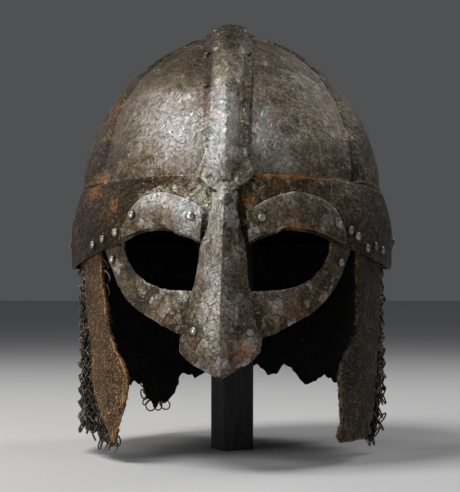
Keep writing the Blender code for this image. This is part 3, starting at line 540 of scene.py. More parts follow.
def nasal(across, up):
    """The nose guard: a ridged plate that widens down to a pointed spade."""
    side = 2.0 * across - 1.0
    drop = 1.0 - up
    height = BROW_HEIGHT - NASAL_TOP_DROP - drop * NASAL_LENGTH
    x = side * NASAL_HALF_WIDTH * read_row(NASAL, "half_width", drop)
    band_end = BROW_HEIGHT - BAND_DEPTH * BAND_EDGE[0].drop
    rim_top = BROW_HEIGHT - RIM_DEPTH * EYE_RIM[0].inner_drop
    settle = clamp((height - rim_top) / (band_end - rim_top))
    ridge = NASAL_RIDGE * read_row(NASAL, "ridge", drop) * (1.0 - min(1.0, abs(side)) ** NASAL_POWER)
    point = front_skin(x, height, LAYER_GAP + settle * (LAYER_GAP + PLATE_WALL) + NASAL_WALL + ridge)
    point.x -= NASAL_SLANT * math.sin(math.pi / 2 * drop)
    return point


def eye_rim(across, up):
    """The strip below one eye, from under the nose guard up to the temple."""
    inner_turn = read_row(EYE_RIM, "inner_turn", across)
    outer_turn = read_row(EYE_RIM, "outer_turn", across)
    inner_height = BROW_HEIGHT - RIM_DEPTH * read_row(EYE_RIM, "inner_drop", across)
    outer_height = BROW_HEIGHT - RIM_DEPTH * read_row(EYE_RIM, "outer_drop", across)
    lift = -RIM_SWELL * (2.0 * up - 1.0) ** 2
    return skin(mix(outer_turn, inner_turn, up), mix(outer_height, inner_height, up), lift)


def lean_at(height):
    """How far the flaps and the mail behind them lean in under the band."""
    top = BROW_HEIGHT - BAND_DEPTH
    foot = BROW_HEIGHT - FLAP_TOP_DROP - FLAP_LENGTH
    return FLAP_LEAN * clamp((top - height) / (top - foot))


def cheek_flap(rows):
    def place(across, up):
        drop = 1.0 - up
        height = BROW_HEIGHT - FLAP_TOP_DROP - drop * FLAP_LENGTH
        turn = mix(read_row(rows, "front_turn", drop), read_row(rows, "rear_turn", drop), across)
        return skin(turn, height, -FLAP_INSET - lean_at(height))
    return place


def flap_cover(turn):
    """One where a flap hangs in front of the mail, falling to none behind it."""
    away = min(turn - MAIL_HEM[0].turn, MAIL_HEM[-1].turn - turn)
    fade = clamp((away - MAIL_COVERED_SPAN) / MAIL_COVER_FADE)
    return (1.0 + math.cos(math.pi * fade)) / 2.0


def mail_hem(turn):
    """The height of the torn hem at a turn."""
    rim = BROW_HEIGHT - BAND_DEPTH
    return rim - (rim - TABLE_GAP) * read_row(MAIL_HEM, "length", turn)


def mail_skin(turn, height, depth=0.0):
    """A point of the mail's outer face, or at a depth behind it."""
    rim = BROW_HEIGHT - BAND_DEPTH
    cover = flap_cover(turn)
    behind_flap = FLAP_INSET + FLAP_WALL + LAYER_GAP + lean_at(height)
    hang = clamp((rim - height) / rim)
    fold = MAIL_FOLD * hang * math.sin(MAIL_FOLDS * math.radians(turn)) * (1.0 - cover)
    return skin(turn, height, fold - depth - mix(MAIL_INSET, behind_flap, cover))


class Nodes:
    """Adds nodes to one node tree and joins them."""

    def __init__(self, tree):
        self.tree = tree

    def add(self, kind, feeds, **settings):
        node = self.tree.nodes.new(kind)
        for name, value in settings.items():
            setattr(node, name, value)
        for key, value in feeds.items():
            if isinstance(value, bpy.types.NodeSocket):
                self.tree.links.new(value, node.inputs[key])
            else:
                node.inputs[key].default_value = value
        return node

    def maths(self, operation, first, second=0.0, third=0.0):
        return self.add("ShaderNodeMath", {0: first, 1: second, 2: third}, operation=operation).outputs[0]

    def total(self, *terms):
        """The sum of values, each times its weight."""
        result = 0.0
        for value, weight in terms:
            result = self.maths("MULTIPLY_ADD", value, weight, result)
        return result

    def noise(self, place, scale, detail=4.0, roughness=0.6):
        feeds = {"Vector": place, "Scale": scale, "Detail": detail, "Roughness": roughness}
        return self.add("ShaderNodeTexNoise", feeds).outputs["Fac"]

    def colours(self, place, scale):
        feeds = {"Vector": place, "Scale": scale, "Detail": 3.0}
        return self.add("ShaderNodeTexNoise", feeds).outputs["Color"]

    def cells(self, place, scale, feature="DISTANCE_TO_EDGE"):
        feeds = {"Vector": place, "Scale": scale}
        return self.add("ShaderNodeTexVoronoi", feeds, feature=feature).outputs["Distance"]

    def ease(self, value, low, high, start=0.0, end=1.0):
        feeds = {"Value": value, "From Min": low, "From Max": high, "To Min": start, "To Max": end}
        return self.add("ShaderNodeMapRange", feeds, interpolation_type="SMOOTHSTEP").outputs["Result"]

    def blend(self, share, first, second):
        return self.add("ShaderNodeMix", {0: share, 6: first, 7: second}, data_type="RGBA").outputs[2]

    def tinged(self, share, colour, place, scale):
        """A colour with patches of other hues."""
        hues = self.colours(place, scale)
        feeds = {0: share, 6: colour, 7: hues}
        return self.add("ShaderNodeMix", feeds, data_type="RGBA", blend_type="OVERLAY").outputs[2]

    def relief(self, height):
        """A normal bumped by a height in millimetres."""
        feeds = {"Height": height, "Strength": 1.0, "Distance": 0.001}
        return self.add("ShaderNodeBump", feeds).outputs["Normal"]

    def stretched(self, place, scale):
        return self.add("ShaderNodeMapping", {"Vector": place, "Scale": scale}).outputs[0]

    def warped(self, place, scale, amount):
        """A place moved about a little, for wavy lines."""
        feeds = {0: self.colours(place, scale), 1: (0.5, 0.5, 0.5)}
        centred = self.add("ShaderNodeVectorMath", feeds, operation="SUBTRACT").outputs[0]
        scaled = self.add("ShaderNodeVectorMath", {0: centred, "Scale": amount}, operation="SCALE").outputs[0]
        return self.add("ShaderNodeVectorMath", {0: place, 1: scaled}, operation="ADD").outputs[0]


def start_effect(name, inputs, outputs):
    """A node group with named sockets: its nodes, its input sockets and its output node."""
    tree = bpy.data.node_groups.new(name, "ShaderNodeTree")
    for label, default in inputs:
        kind = "NodeSocketColor" if isinstance(default, tuple) else "NodeSocketFloat"
        tree.interface.new_socket(label, in_out="INPUT", socket_type=kind).default_value = default
    for label, kind in outputs:
        tree.interface.new_socket(label, in_out="OUTPUT", socket_type=kind)
    entry = tree.nodes.new("NodeGroupInput")
    return Nodes(tree), entry.outputs, tree.nodes.new("NodeGroupOutput")


def end_effect(make, result, made):
    """Joins what a node group has made to its output sockets."""
    for label, value in made.items():
        make.tree.links.new(value, result.inputs[label])
    return make.tree


SURFACE = (("Colour", "NodeSocketColor"), ("Roughness", "NodeSocketFloat"), ("Height", "NodeSocketFloat"))
METAL_SURFACE = (*SURFACE, ("Metallic", "NodeSocketFloat"))


def aged_iron():
    """Iron under brown rust, rubbed bare in places, with orange patches, cracked scale and pits."""
    if "aged_iron" in bpy.data.node_groups:
        return bpy.data.node_groups["aged_iron"]
    white = (1.0, 1.0, 1.0, 1.0)
    make, given, result = start_effect("aged_iron", (
        ("Wear And Light", 0.3), ("Rust", 0.0), ("Lip", 0.0), ("Shade", 0.0), ("Crackle", 1.0), ("Relief", 1.0),
        ("Bare Colour", white), ("Brown Colour", white), ("Dark Colour", white), ("Orange Colour", white),
        ("Fleck Colour", white),
    ), METAL_SURFACE)
    place = make.add("ShaderNodeTexCoord", {}).outputs["Object"]
    wavy = make.warped(place, 130.0, 0.006)
    blotch = make.noise(place, 30.0, 5.0)
    patch = make.noise(wavy, 105.0, 5.0, 0.62)
    grain = make.noise(wavy, 430.0, 4.0, 0.66)
    grit = make.noise(place, 1400.0, 2.0)
    curl = make.maths("ABSOLUTE", make.maths("SUBTRACT", make.noise(wavy, 230.0, 2.0), 0.5))
    vein = make.maths("MULTIPLY", make.ease(curl, 0.0, 0.030, 1.0, 0.0), make.ease(patch, 0.38, 0.56))
    wide_crack = make.ease(make.cells(wavy, 120.0), 0.0, 0.055, 1.0, 0.0)
    fine_crack = make.ease(make.cells(wavy, 300.0), 0.0, 0.08, 0.7, 0.0)
    wide_crack = make.maths("MULTIPLY", wide_crack, make.ease(patch, 0.45, 0.55))
    fine_crack = make.maths("MULTIPLY", fine_crack, make.ease(blotch, 0.46, 0.60))
    crease = make.maths("MULTIPLY", make.maths("MAXIMUM", wide_crack, fine_crack), given["Crackle"])
    crease = make.maths("MAXIMUM", crease, make.maths("MULTIPLY", vein, 0.7))
    pit = make.ease(make.cells(wavy, 290.0, "F1"), 0.12, 0.30, 1.0, 0.0)
    pit = make.maths("MULTIPLY", pit, make.ease(grain, 0.47, 0.55))
    glint = make.ease(make.cells(wavy, 330.0, "F1"), 0.10, 0.17, 1.0, 0.0)
    glint = make.maths("MULTIPLY", glint, make.ease(make.noise(place, 210.0), 0.52, 0.60))

    flecks = make.noise(wavy, 620.0, 2.0, 0.5)
    scattered = make.total((flecks, 1.0), (given["Wear And Light"], 0.05), (patch, 0.30), (blotch, 0.15))
    bright_fleck = make.ease(scattered, 0.86, 0.94, 0.0, 0.70)
    dirt_fleck = make.ease(scattered, 0.52, 0.62, 0.75, 0.0)
    flake_mask = make.maths("MULTIPLY", given["Crackle"], make.ease(patch, 0.42, 0.54))
    flake = make.add("ShaderNodeTexVoronoi", {"Vector": wavy, "Scale": 120.0}).outputs["Color"]
    flake = make.add("ShaderNodeSeparateColor", {0: flake}).outputs["Red"]
    flake = make.maths("MULTIPLY", make.maths("SUBTRACT", flake, 0.5), flake_mask)

    edge = make.maths("MULTIPLY", given["Lip"], make.ease(blotch, 0.44, 0.60))
    rubbed = make.total((given["Wear And Light"], 1.1), (edge, 0.6), (patch, 1.3), (grain, 1.0), (crease, -0.3),
                        (pit, -0.3), (flake, 0.7))
    bare = make.maths("MAXIMUM", make.ease(rubbed, 1.05, 2.15), make.maths("MULTIPLY", glint, 0.55))
    rusting = make.total((given["Rust"], 1.0), (patch, 1.3), (grain, 1.2))
    orange = make.ease(rusting, 1.62, 2.10, 0.0, 0.80)
    worn = make.total((blotch, 1.0), (patch, 0.7), (grain, 1.1), (given["Wear And Light"], 0.6), (flake, 0.6))
    colour = make.blend(make.ease(worn, 1.05, 1.70), given["Dark Colour"], given["Brown Colour"])
    ochre = make.total((make.noise(wavy, 640.0, 3.0), 1.0), (given["Rust"], 0.25))
    ochre = make.ease(ochre, 0.60, 0.72, 0.0, 0.45)
    colour = make.blend(ochre, colour, given["Orange Colour"])
    colour = make.blend(bare, colour, given["Bare Colour"])
    colour = make.tinged(0.16, colour, wavy, 80.0)
    colour = make.blend(bright_fleck, colour, given["Fleck Colour"])
    colour = make.blend(dirt_fleck, colour, given["Dark Colour"])
    colour = make.blend(orange, colour, given["Orange Colour"])
    hollow = make.maths("MAXIMUM", crease, pit)
    colour = make.blend(make.maths("MULTIPLY", hollow, 0.72), colour, given["Dark Colour"])
    colour = make.blend(given["Shade"], colour, given["Dark Colour"])
    clean = make.maths("MULTIPLY", make.maths("SUBTRACT", 1.0, orange), make.maths("SUBTRACT", 1.0, hollow))
    metallic = make.maths("MULTIPLY", make.total((bare, 0.30), (1.0, 0.68)), clean)
    roughness = make.total((1.0, 0.28), (bare, -0.07), (orange, 0.38), (hollow, 0.26), (grain, 0.18))
    wrinkle = make.noise(make.stretched(wavy, (1.0, 1.0, 1.6)), 260.0, 3.0, 0.55)
    height = make.total((patch, 0.80), (wrinkle, 0.70), (grain, 0.70), (grit, 0.09), (crease, -0.24),
                        (pit, -0.30), (glint, 0.20), (bright_fleck, 0.10), (dirt_fleck, -0.12), (flake, 0.45))
    height = make.maths("MULTIPLY", height, given["Relief"])
    made = {"Colour": colour, "Metallic": metallic, "Roughness": roughness, "Height": height}
    return end_effect(make, result, made)


def old_leather():
    """Dry fibrous leather with rubbed and dirty places, its fibres running down."""
    if "old_leather" in bpy.data.node_groups:
        return bpy.data.node_groups["old_leather"]
    make, given, result = start_effect("old_leather", (
        ("Wear And Light", 0.3), ("Lip", 0.0), ("Leather Colour", (1.0, 1.0, 1.0, 1.0)),
        ("Light Colour", (1.0, 1.0, 1.0, 1.0)), ("Dark Colour", (0.0, 0.0, 0.0, 1.0)),
    ), SURFACE)
    place = make.add("ShaderNodeTexCoord", {}).outputs["Object"]
    wavy = make.warped(place, 60.0, 0.010)
    fibres = make.noise(make.stretched(wavy, (1.0, 1.0, 0.16)), 620.0, 4.0, 0.7)
    grain = make.noise(wavy, 520.0, 4.0, 0.7)
    patch = make.noise(wavy, 70.0, 5.0)
    crack = make.ease(make.cells(make.stretched(wavy, (1.0, 1.0, 0.45)), 210.0), 0.0, 0.10, 1.0, 0.0)
    crack = make.maths("MULTIPLY", crack, make.ease(patch, 0.42, 0.6))
    speck = make.ease(make.cells(wavy, 640.0, "F1"), 0.16, 0.38, 1.0, 0.0)
    lip = make.maths("MULTIPLY", given["Lip"], make.ease(make.noise(place, 160.0), 0.40, 0.62))
    light = make.total((given["Wear And Light"], 1.0), (lip, 1.0), (patch, 1.0), (fibres, 1.3), (grain, 1.4),
                       (speck, 0.70))
    clean = make.ease(make.total((patch, 1.0), (grain, 1.4)), 0.9, 1.45)
    colour = make.blend(clean, given["Dark Colour"], given["Leather Colour"])
    colour = make.blend(make.ease(light, 2.02, 2.70), colour, given["Light Colour"])
    colour = make.blend(make.maths("MULTIPLY", crack, 0.75), colour, given["Dark Colour"])
    roughness = make.total((1.0, 0.70), (grain, 0.25))
    height = make.total((fibres, 0.80), (grain, 0.70), (patch, 0.5), (speck, 0.26), (crack, -0.25))
    return end_effect(make, result, {"Colour": colour, "Roughness": roughness, "Height": height})


def finish_from(name, group, values, gloss):
    """A material whose shader takes everything that changes over the surface from a node group."""
    if name in bpy.data.materials:
        return bpy.data.materials[name]
    material = bpy.data.materials.new(name)
    material.use_nodes = True
    make = Nodes(material.node_tree)
    shader = material.node_tree.nodes["Principled BSDF"]
    surface = make.add("ShaderNodeGroup", {}, node_tree=group)
    for key, value in values.items():
        surface.inputs[key].default_value = (*value, 1.0) if hasattr(value, "__len__") else value
    marks = make.add("ShaderNodeAttribute", {}, attribute_name="marks")
    parts = make.add("ShaderNodeSeparateColor", {"Color": marks.outputs["Color"]})
    # Red carries wear together with painted highlights and painted shade, green the rust and blue the edges
    for label, channel in (("Wear And Light", "Red"), ("Rust", "Green"), ("Lip", "Blue")):
        if label in surface.inputs:
            bias = values.get(label, 0.0)
            make.tree.links.new(make.maths("ADD", parts.outputs[channel], bias), surface.inputs[label])
    make.tree.links.new(surface.outputs["Colour"], shader.inputs["Base Color"])
    if "Metallic" in surface.outputs:
        make.tree.links.new(surface.outputs["Metallic"], shader.inputs["Metallic"])
    make.tree.links.new(surface.outputs["Roughness"], shader.inputs["Roughness"])
    make.tree.links.new(make.relief(surface.outputs["Height"]), shader.inputs["Normal"])
    shader.inputs["Specular IOR Level"].default_value = gloss
    return material


def iron(name, wear_and_light=0.0, rust=0.0, crackle=1.0, relief=1.0, brown=1.0, shade=0.0, tint=(1.0, 1.0, 1.0),
         gloss=0.5):
    """A worn iron finish with its own amounts of wear and rust; the wear amount also carries painted shade.
    """
    look = bpy.context.scene.helmet_iron
    brown_colour = tuple(a * b * brown for a, b in zip(look.brown, tint))
    return finish_from(name, aged_iron(), {
        "Wear And Light": wear_and_light, "Rust": rust, "Crackle": crackle, "Relief": relief, "Shade": shade,
        "Bare Colour": tuple(a * b for a, b in zip(look.bare, tint)), "Brown Colour": brown_colour,
        "Dark Colour": tuple(look.dark), "Orange Colour": tuple(look.orange),
        "Fleck Colour": tuple(mix(a * 2.6, b, 0.45) for a, b in zip(brown_colour, look.bare)),
    }, gloss)


def shaded_inside_iron():
    """The inner side of every plate: the same iron darkened and dulled as painted shade."""
    return iron("iron_inside_shaded", wear_and_light=-0.5, rust=-0.3, shade=0.72, brown=0.5)


def leather(name, colour, specks):
    """Old leather of a colour, with specks so many times as light."""
    return finish_from(name, old_leather(), {
        "Leather Colour": tuple(colour),
        "Light Colour": tuple(min(1.0, value * specks + 0.010) for value in colour),
        "Dark Colour": tuple(value * 0.16 for value in colour),
    }, gloss=0.25)


def weathered_wood():
    """Dark old wood with open grain that runs up the post, darkened higher up as painted shade under the
    helmet.
    """
    if "weathered_wood" in bpy.data.materials:
        return bpy.data.materials["weathered_wood"]
    material = bpy.data.materials.new("weathered_wood")
    material.use_nodes = True
    make = Nodes(material.node_tree)
    shader = material.node_tree.nodes["Principled BSDF"]
    place = make.add("ShaderNodeTexCoord", {}).outputs["Object"]
    wavy = make.warped(place, 25.0, 0.004)
    grain = make.noise(make.stretched(wavy, (1.0, 1.0, 0.06)), 700.0, 5.0, 0.7)
    rings = make.noise(make.stretched(wavy, (1.0, 1.0, 0.10)), 150.0, 3.0)
    grime = make.noise(place, 60.0, 5.0)
    height_up = make.add("ShaderNodeSeparateXYZ", {0: place}).outputs["Z"]
    # Painted shade: the post goes almost black where it rises under the helmet
    shade_under_helmet = make.ease(height_up, 0.050, 0.085, 1.0, 0.05)
    tone = make.ease(make.total((grain, 1.0), (rings, 0.7), (grime, 0.6)), 0.85, 1.45)
    tone = make.maths("MULTIPLY", tone, shade_under_helmet)
    colour = make.blend(tone, (0.008, 0.008, 0.008, 1.0), (0.040, 0.040, 0.042, 1.0))
    height = make.total((grain, 0.5), (rings, 0.5), (grime, 0.2))
    make.tree.links.new(colour, shader.inputs["Base Color"])
    make.tree.links.new(make.total((1.0, 0.5), (grime, 0.4)), shader.inputs["Roughness"])
    make.tree.links.new(make.relief(height), shader.inputs["Normal"])
    return material


def spots_at(spots, point):
    """How strongly a list of spots on the front marks a point."""
    if point.y > 0.0:
        return 0.0
    total = 0.0
    for spot in spots:
        away = ((point.x - spot.x) / spot.half_width) ** 2 + ((point.z - spot.z) / spot.half_height) ** 2
        if away < 6.0:
            total += spot.strength * math.exp(-away)
    return total


def span_of(place, along_first):
    """The length of a sheet through its middle, one way or the other."""
    steps = 24
    points = [place(k / steps, 0.5) if along_first else place(0.5, k / steps) for k in range(steps + 1)]
    return sum((b - a).length for a, b in zip(points, points[1:]))


def worn_relief(point, edge, look, depth):
    """How far a place on a plate stands out or in: dents, flakes and rounded edges."""
    swell = look.dents * (noise.noise(point * 38.0) + 0.5 * noise.noise(point * 92.0))
    flake = look.flakes * noise.noise(point * 330.0)
    rounding = ROUNDING * (1.0 - clamp(edge / ROUNDING_REACH)) ** 2
    return depth * (swell + flake) - rounding


def softened(place, reach):
    """The same layout with the creases across it rounded off."""
    def soft(across, up):
        near = max(0.0, min(reach, up, 1.0 - up))
        spots = [place(across, up + near * step) for step in (-1.0, -0.6, -0.2, 0.2, 0.6, 1.0)]
        return sum(spots, Vector()) / len(spots)
    return soft


def chipped(share, where, chip, size, edge):
    """A share of the way over a plate, moved near an edge by the chips in it."""
    if edge >= CHIP_REACH:
        return share
    bite = chip * (noise.noise(where * 160.0) + 0.6 * noise.noise(where * 520.0) - 0.25)
    return share + math.copysign(bite / size * (1.0 - edge / CHIP_REACH), share - 0.5)


def give_wall(piece, wall):
    """Gives a sheet its wall inwards and bevels the edges."""
    thickness = piece.modifiers.new("wall", "SOLIDIFY")
    thickness.thickness = wall
    thickness.offset = -1.0
    thickness.use_even_offset = False
    thickness.material_offset = 1
    edges = piece.modifiers.new("edges", "BEVEL")
    edges.width = EDGE_BEVEL
    edges.segments = 2
    edges.limit_method = "ANGLE"
    edges.angle_limit = math.radians(50)
    edges.harden_normals = True


def plate(name, place, wall, finish, node, cell=None, chips=1.0, depth=1.0, closed=False, extra=None,
          marks=None, inside=None, lip=1.0, ridged=False):
    """A thin worn plate: a fine grid laid on the skin, dented and chipped, with its wall inwards.

    extra gives a further rise at a place and marks further wear, painted shade and rust. ridged keeps the
    middle sharp.
    """
    look = bpy.context.scene.helmet_iron
    cell = cell or look.cell
    width = span_of(place, True)
    length = span_of(place, False)
    chip = look.chips * chips
    shape = bmesh.new()
    columns = 2 * round(width / cell / 2.0)
    bmesh.ops.create_grid(shape, x_segments=columns, y_segments=round(length / cell), size=1.0)
    middle = 0.2 / columns
    ridge = [edge for edge in shape.edges if ridged and all(abs(end.co.x) < middle for end in edge.verts)]
    notes = []
    for point in shape.verts:
        across, up = (point.co.x + 1.0) / 2.0, (point.co.y + 1.0) / 2.0
        side_edge = 1.0 if closed else min(across, 1.0 - across) * width
        end_edge = min(up, 1.0 - up) * length
        where = Vector((across * width, up * length, 0.11 * len(name)))
        up = chipped(up, where, chip, length, end_edge)
        across = chipped(across, where, chip, width, side_edge)
        point.co = place(across, up)
        notes.append((min(side_edge, end_edge), across, up))
    if closed:
        kept = {point.index: note for point, note in zip(shape.verts, notes)}
        bmesh.ops.remove_doubles(shape, verts=shape.verts[:], dist=MERGE)
        notes = [kept[point.index] for point in shape.verts]
    shape.normal_update()
    layer = shape.verts.layers.float_color.new("marks")
    for point, (edge, across, up) in zip(shape.verts, notes):
        rise = worn_relief(point.co, edge, look, depth)
        if extra:
            rise += extra(point.co, across, up, edge)
        # The spots and marks bring painted highlights and painted shade in along with the wear
        wear_and_light, rust = spots_at(WORN_AND_LIT_SPOTS, point.co), spots_at(RUST_SPOTS, point.co)
        more_wear_and_light, more_rust = marks(point.co, across, up) if marks else (0.0, 0.0)
        point[layer] = (wear_and_light + more_wear_and_light, rust + more_rust, lip * (1.0 - clamp(edge / LIP_REACH)), 1.0)
        point.co += point.normal * rise
    for face in shape.faces:
        face.smooth = True
    for edge in ridge:
        edge.smooth = False
    mesh = bpy.data.meshes.new(name)
    shape.to_mesh(mesh)
    shape.free()
    mesh.materials.append(finish)
    mesh.materials.append(inside or shaded_inside_iron())
    piece = bpy.data.objects.new(name, mesh)
    bpy.context.scene.collection.objects.link(piece)
    give_wall(piece, wall)
    return adopt(piece, node)


def adopt(piece, *nodes):
    """Ties a piece to the body and to the solids that it stands for."""
    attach(piece, BODY)
    if nodes:
        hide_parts(*nodes)
    return piece


def mesh_piece(name, shape, finishes):
    """A finished bmesh as an object at the origin."""
    mesh = bpy.data.meshes.new(name)
    shape.to_mesh(mesh)
    shape.free()
    for finish in finishes:
        mesh.materials.append(finish)
    mesh.shade_smooth()
    piece = bpy.data.objects.new(name, mesh)
    bpy.context.scene.collection.objects.link(piece)
    return piece


def seat_of(place, across, up):
    """The point of a sheet at a share across and up, and the direction that it faces there."""
    step = 0.01
    point = place(across, up)
    side = place(across + step, up) - place(across - step, up)
    rise = place(across, up + step) - place(across, up - step)
    return point, side.cross(rise).normalized()


def guard_seat(turn, drop, lift):
    """A point on the guard and its outward direction; drop is a share of the band's depth."""
    height = BROW_HEIGHT - BAND_DEPTH * drop
    point = skin(turn, height, lift)
    return point, (skin(turn, height, lift + 0.001) - point).normalized()


def rivet_seats():
    """Every rivet's name, seat, direction and size, where the solids have them."""
    over_band = LAYER_GAP + PLATE_WALL
    band_places = (
        ("left_1", -39.2, 0.625), ("left_2", -45.6, 0.69), ("left_3", -51.5, 0.75),
        ("right_1", 44.3, 0.60), ("right_2", 48.0, 0.66), ("right_3", 53.3, 0.79), ("right_4", 58.8, 0.76),
        ("right_5", 64.8, 0.80), ("rear_left", -148.0, 0.30), ("rear_right", 148.0, 0.30),
    )
    for label, turn, drop in band_places:
        yield "band_rivet_" + label, guard_seat(turn, drop, over_band), RIVET
    yield "rim_rivet_left", guard_seat(-42.4, 0.925, 0.0), RIVET
    yield "rim_rivet_right", guard_seat(41.2, 0.955, 0.0), RIVET
    yield "ear_rivet_left", guard_seat(-88.0, 0.70, over_band), EAR_RIVET
    yield "ear_rivet_right", guard_seat(89.0, 0.68, over_band), EAR_RIVET
    left_brow, right_brow = mirrored(eyebrow(EYEBROW_LEFT)), eyebrow(EYEBROW_RIGHT)
    yield "eyebrow_rivet_left_outer", seat_of(left_brow, 0.145, 0.62), RIVET
    yield "eyebrow_rivet_left_inner", seat_of(left_brow, 0.905, 0.56), RIVET
    yield "eyebrow_rivet_right_inner", seat_of(right_brow, 0.11, 0.53), RIVET
    yield "eyebrow_rivet_right_outer", seat_of(right_brow, 0.90, 0.52), RIVET
    yield "nasal_rivet_left", seat_of(nasal, 0.16, 0.255), RIVET
    yield "nasal_rivet_right", seat_of(nasal, 0.885, 0.25), RIVET
    yield "terminal_rivet_left", seat_of(terminal, 0.205, 0.32), DISC_RIVET
    yield "terminal_rivet_right", seat_of(terminal, 0.81, 0.33), DISC_RIVET
    for side, label in ((-0.45, "left"), (0.45, "right")):
        for number, station in enumerate((0.17, 0.27, 0.38)):
            yield "crest_rivet_%s_%d" % (label, number + 1), seat_of(crest, 0.5 + side, station), CREST_RIVET


def hammered_down(point, across, up, edge):
    """The plates over the ears are hammered down on the dome along their edges."""
    return -GORE_SINK * (1.0 - clamp(edge / GORE_SINK_REACH))


class HELMET_OT_dome(Operator):
    """Build the four plates of the dome and the plates over the ears"""

    bl_idname = "helmet.dome"
    bl_label = "Dome plates"

    def execute(self, context):
        finish = iron("iron_dome", wear_and_light=0.0, rust=0.05, crackle=0.3, relief=1.35)
        quarters = (("front_right", 0.0), ("rear_right", 90.0), ("rear_left", 180.0), ("front_left", 270.0))
        for label, turn in quarters:
            plate("dome_" + label, bowl_quarter(turn), PLATE_WALL, finish, "bowl_" + label)
        side = iron("iron_gores", wear_and_light=-0.12, rust=0.13, crackle=0.5, relief=1.4, brown=0.72, gloss=0.20,
                    tint=(1.05, 1.0, 0.85))
        for label, place in (("right", gore), ("left", mirrored(gore))):
            # The doubled lip brightens the plates' edges: partly rubbed iron, partly a painted highlight
            # where the light catches their front edges
            plate("gore_plate_" + label, place, GORE_WALL, side, "side_gore_" + label, extra=hammered_down,
                  lip=2.0)
        return {"FINISHED"}


def over_crown(point):
    """One over the crown, falling to none down the front and the back."""
    return clamp((point.z - OVER_CROWN_START) / OVER_CROWN_FADE)


def boss_distances(side, up):
    """How far a place on the crest lies from each boss, in reaches of a boss."""
    for station, place in CREST_BOSSES:
        yield math.hypot((side - place) * CREST_CROWN_HALF_WIDTH, (up - station) * CREST_SPAN) / BOSS_REACH


def crest_form(point, across, up, edge):
    """A rounder and flaking crown, and low bosses along the foot of the keel."""
    side = abs(2.0 * across - 1.0)
    keel = max(0.0, 1.0 - (side / KEEL_SHARE) ** KEEL_POWER)
    cap = max(0.0, 1.0 - side**2) ** 1.2
    ripple = abs(noise.noise(Vector((point.x * 95.0, up * 75.0, 2.0))))
    ripple += 0.5 * abs(noise.noise(point * 260.0))
    sunk = 0.0024 * (1.0 - clamp(edge / 0.0060))
    rise = over_crown(point) * (KEEL_RISE * (cap - keel) - 0.0011 * (0.5 - ripple) - sunk)
    return rise + sum(BOSS_RISE * clamp(1.6 - away) for away in boss_distances(side, up))


def crest_marks(point, across, up):
    """Rubbed bright along the keel, brown and rusty on the flat edges and over the crown."""
    side = abs(2.0 * across - 1.0)
    over = over_crown(point)
    flat = clamp((side - 0.60) / 0.12)
    bright = sum(0.45 * clamp(1.5 - away) for away in boss_distances(side, up))
    return bright - 0.32 * flat - 0.20 * over, 0.22 * clamp((side - 0.90) / 0.06) + 0.10 * over


def lobe_distance(point, x):
    """How far a point lies from the middle of a lobe, unevenly, as hammered by hand."""
    away = math.hypot(point.x - x, point.z - LOBE_HEIGHT)
    return away + 0.0009 * noise.noise(Vector((point.x * 190.0, point.z * 190.0, 4.0)))


def hollow_distance(point):
    """How far a point lies from the hollow where the keel stops, in half sizes of the hollow."""
    return math.hypot((point.x - HOLLOW_X) / HOLLOW_HALF_WIDTH, (point.z - HOLLOW_Z) / HOLLOW_HALF_HEIGHT)


def end_lobes(point, across, up, edge):
    """Two round lobes beside the keel, each in a groove, and a hollow where the keel stops."""
    rise = 0.0
    for x in LOBE_PLACES:
        away = lobe_distance(point, x)
        rise += LOBE_RISE * clamp((LOBE_RADIUS - away) / 0.0030)
        rise -= 0.00015 * max(0.0, 1.0 - abs(away - GROOVE_RADIUS) / 0.0010)
    sunk = 1.0 - clamp((1.0 - up) * (TERMINAL_TOP + TERMINAL_DROP) / 0.0050)
    return rise - 0.0009 * max(0.0, 1.0 - hollow_distance(point)) - 0.0022 * sunk


def end_marks(point, across, up):
    """Dark in the grooves and the hollow."""
    dark = max(0.0, 1.1 - hollow_distance(point))
    for x in LOBE_PLACES:
        dark += 0.30 * max(0.0, 1.0 - abs(lobe_distance(point, x) - GROOVE_RADIUS) / 0.0011)
    return -0.8 * min(1.0, dark), 0.0


class HELMET_OT_crest(Operator):
    """Build the crest over the dome and its end plate on the brow"""

    bl_idname = "helmet.crest"
    bl_label = "Crest"

    def execute(self, context):
        finish = iron("iron_crest", wear_and_light=0.08, rust=0.0, crackle=0.25, relief=1.5)
        plate("crest_ridge", crest, PLATE_WALL, finish, "crest_band", cell=0.0010, extra=crest_form,
              marks=crest_marks, lip=0.0)
        end = iron("iron_crest_end", wear_and_light=0.10, crackle=0.3, relief=1.3)
        plate("crest_end", softened(terminal, 0.16), TERMINAL_WALL, end, "crest_terminal", cell=0.0005,
              chips=0.4, depth=0.6, extra=end_lobes, marks=end_marks, lip=0.5)
        return {"FINISHED"}


def band_shade_and_rust(point, across, up):
    """The band is darker towards the sides, painted shade where the light falls away round the head; darker
    along its foot, and rustier towards the sides.
    """
    turn = abs(mix(-180.0, 180.0, across))
    return -0.55 * clamp((turn - 34.0) / 26.0) - 0.08 * (1.0 - up), 0.08 * clamp((turn - 50.0) / 30.0)


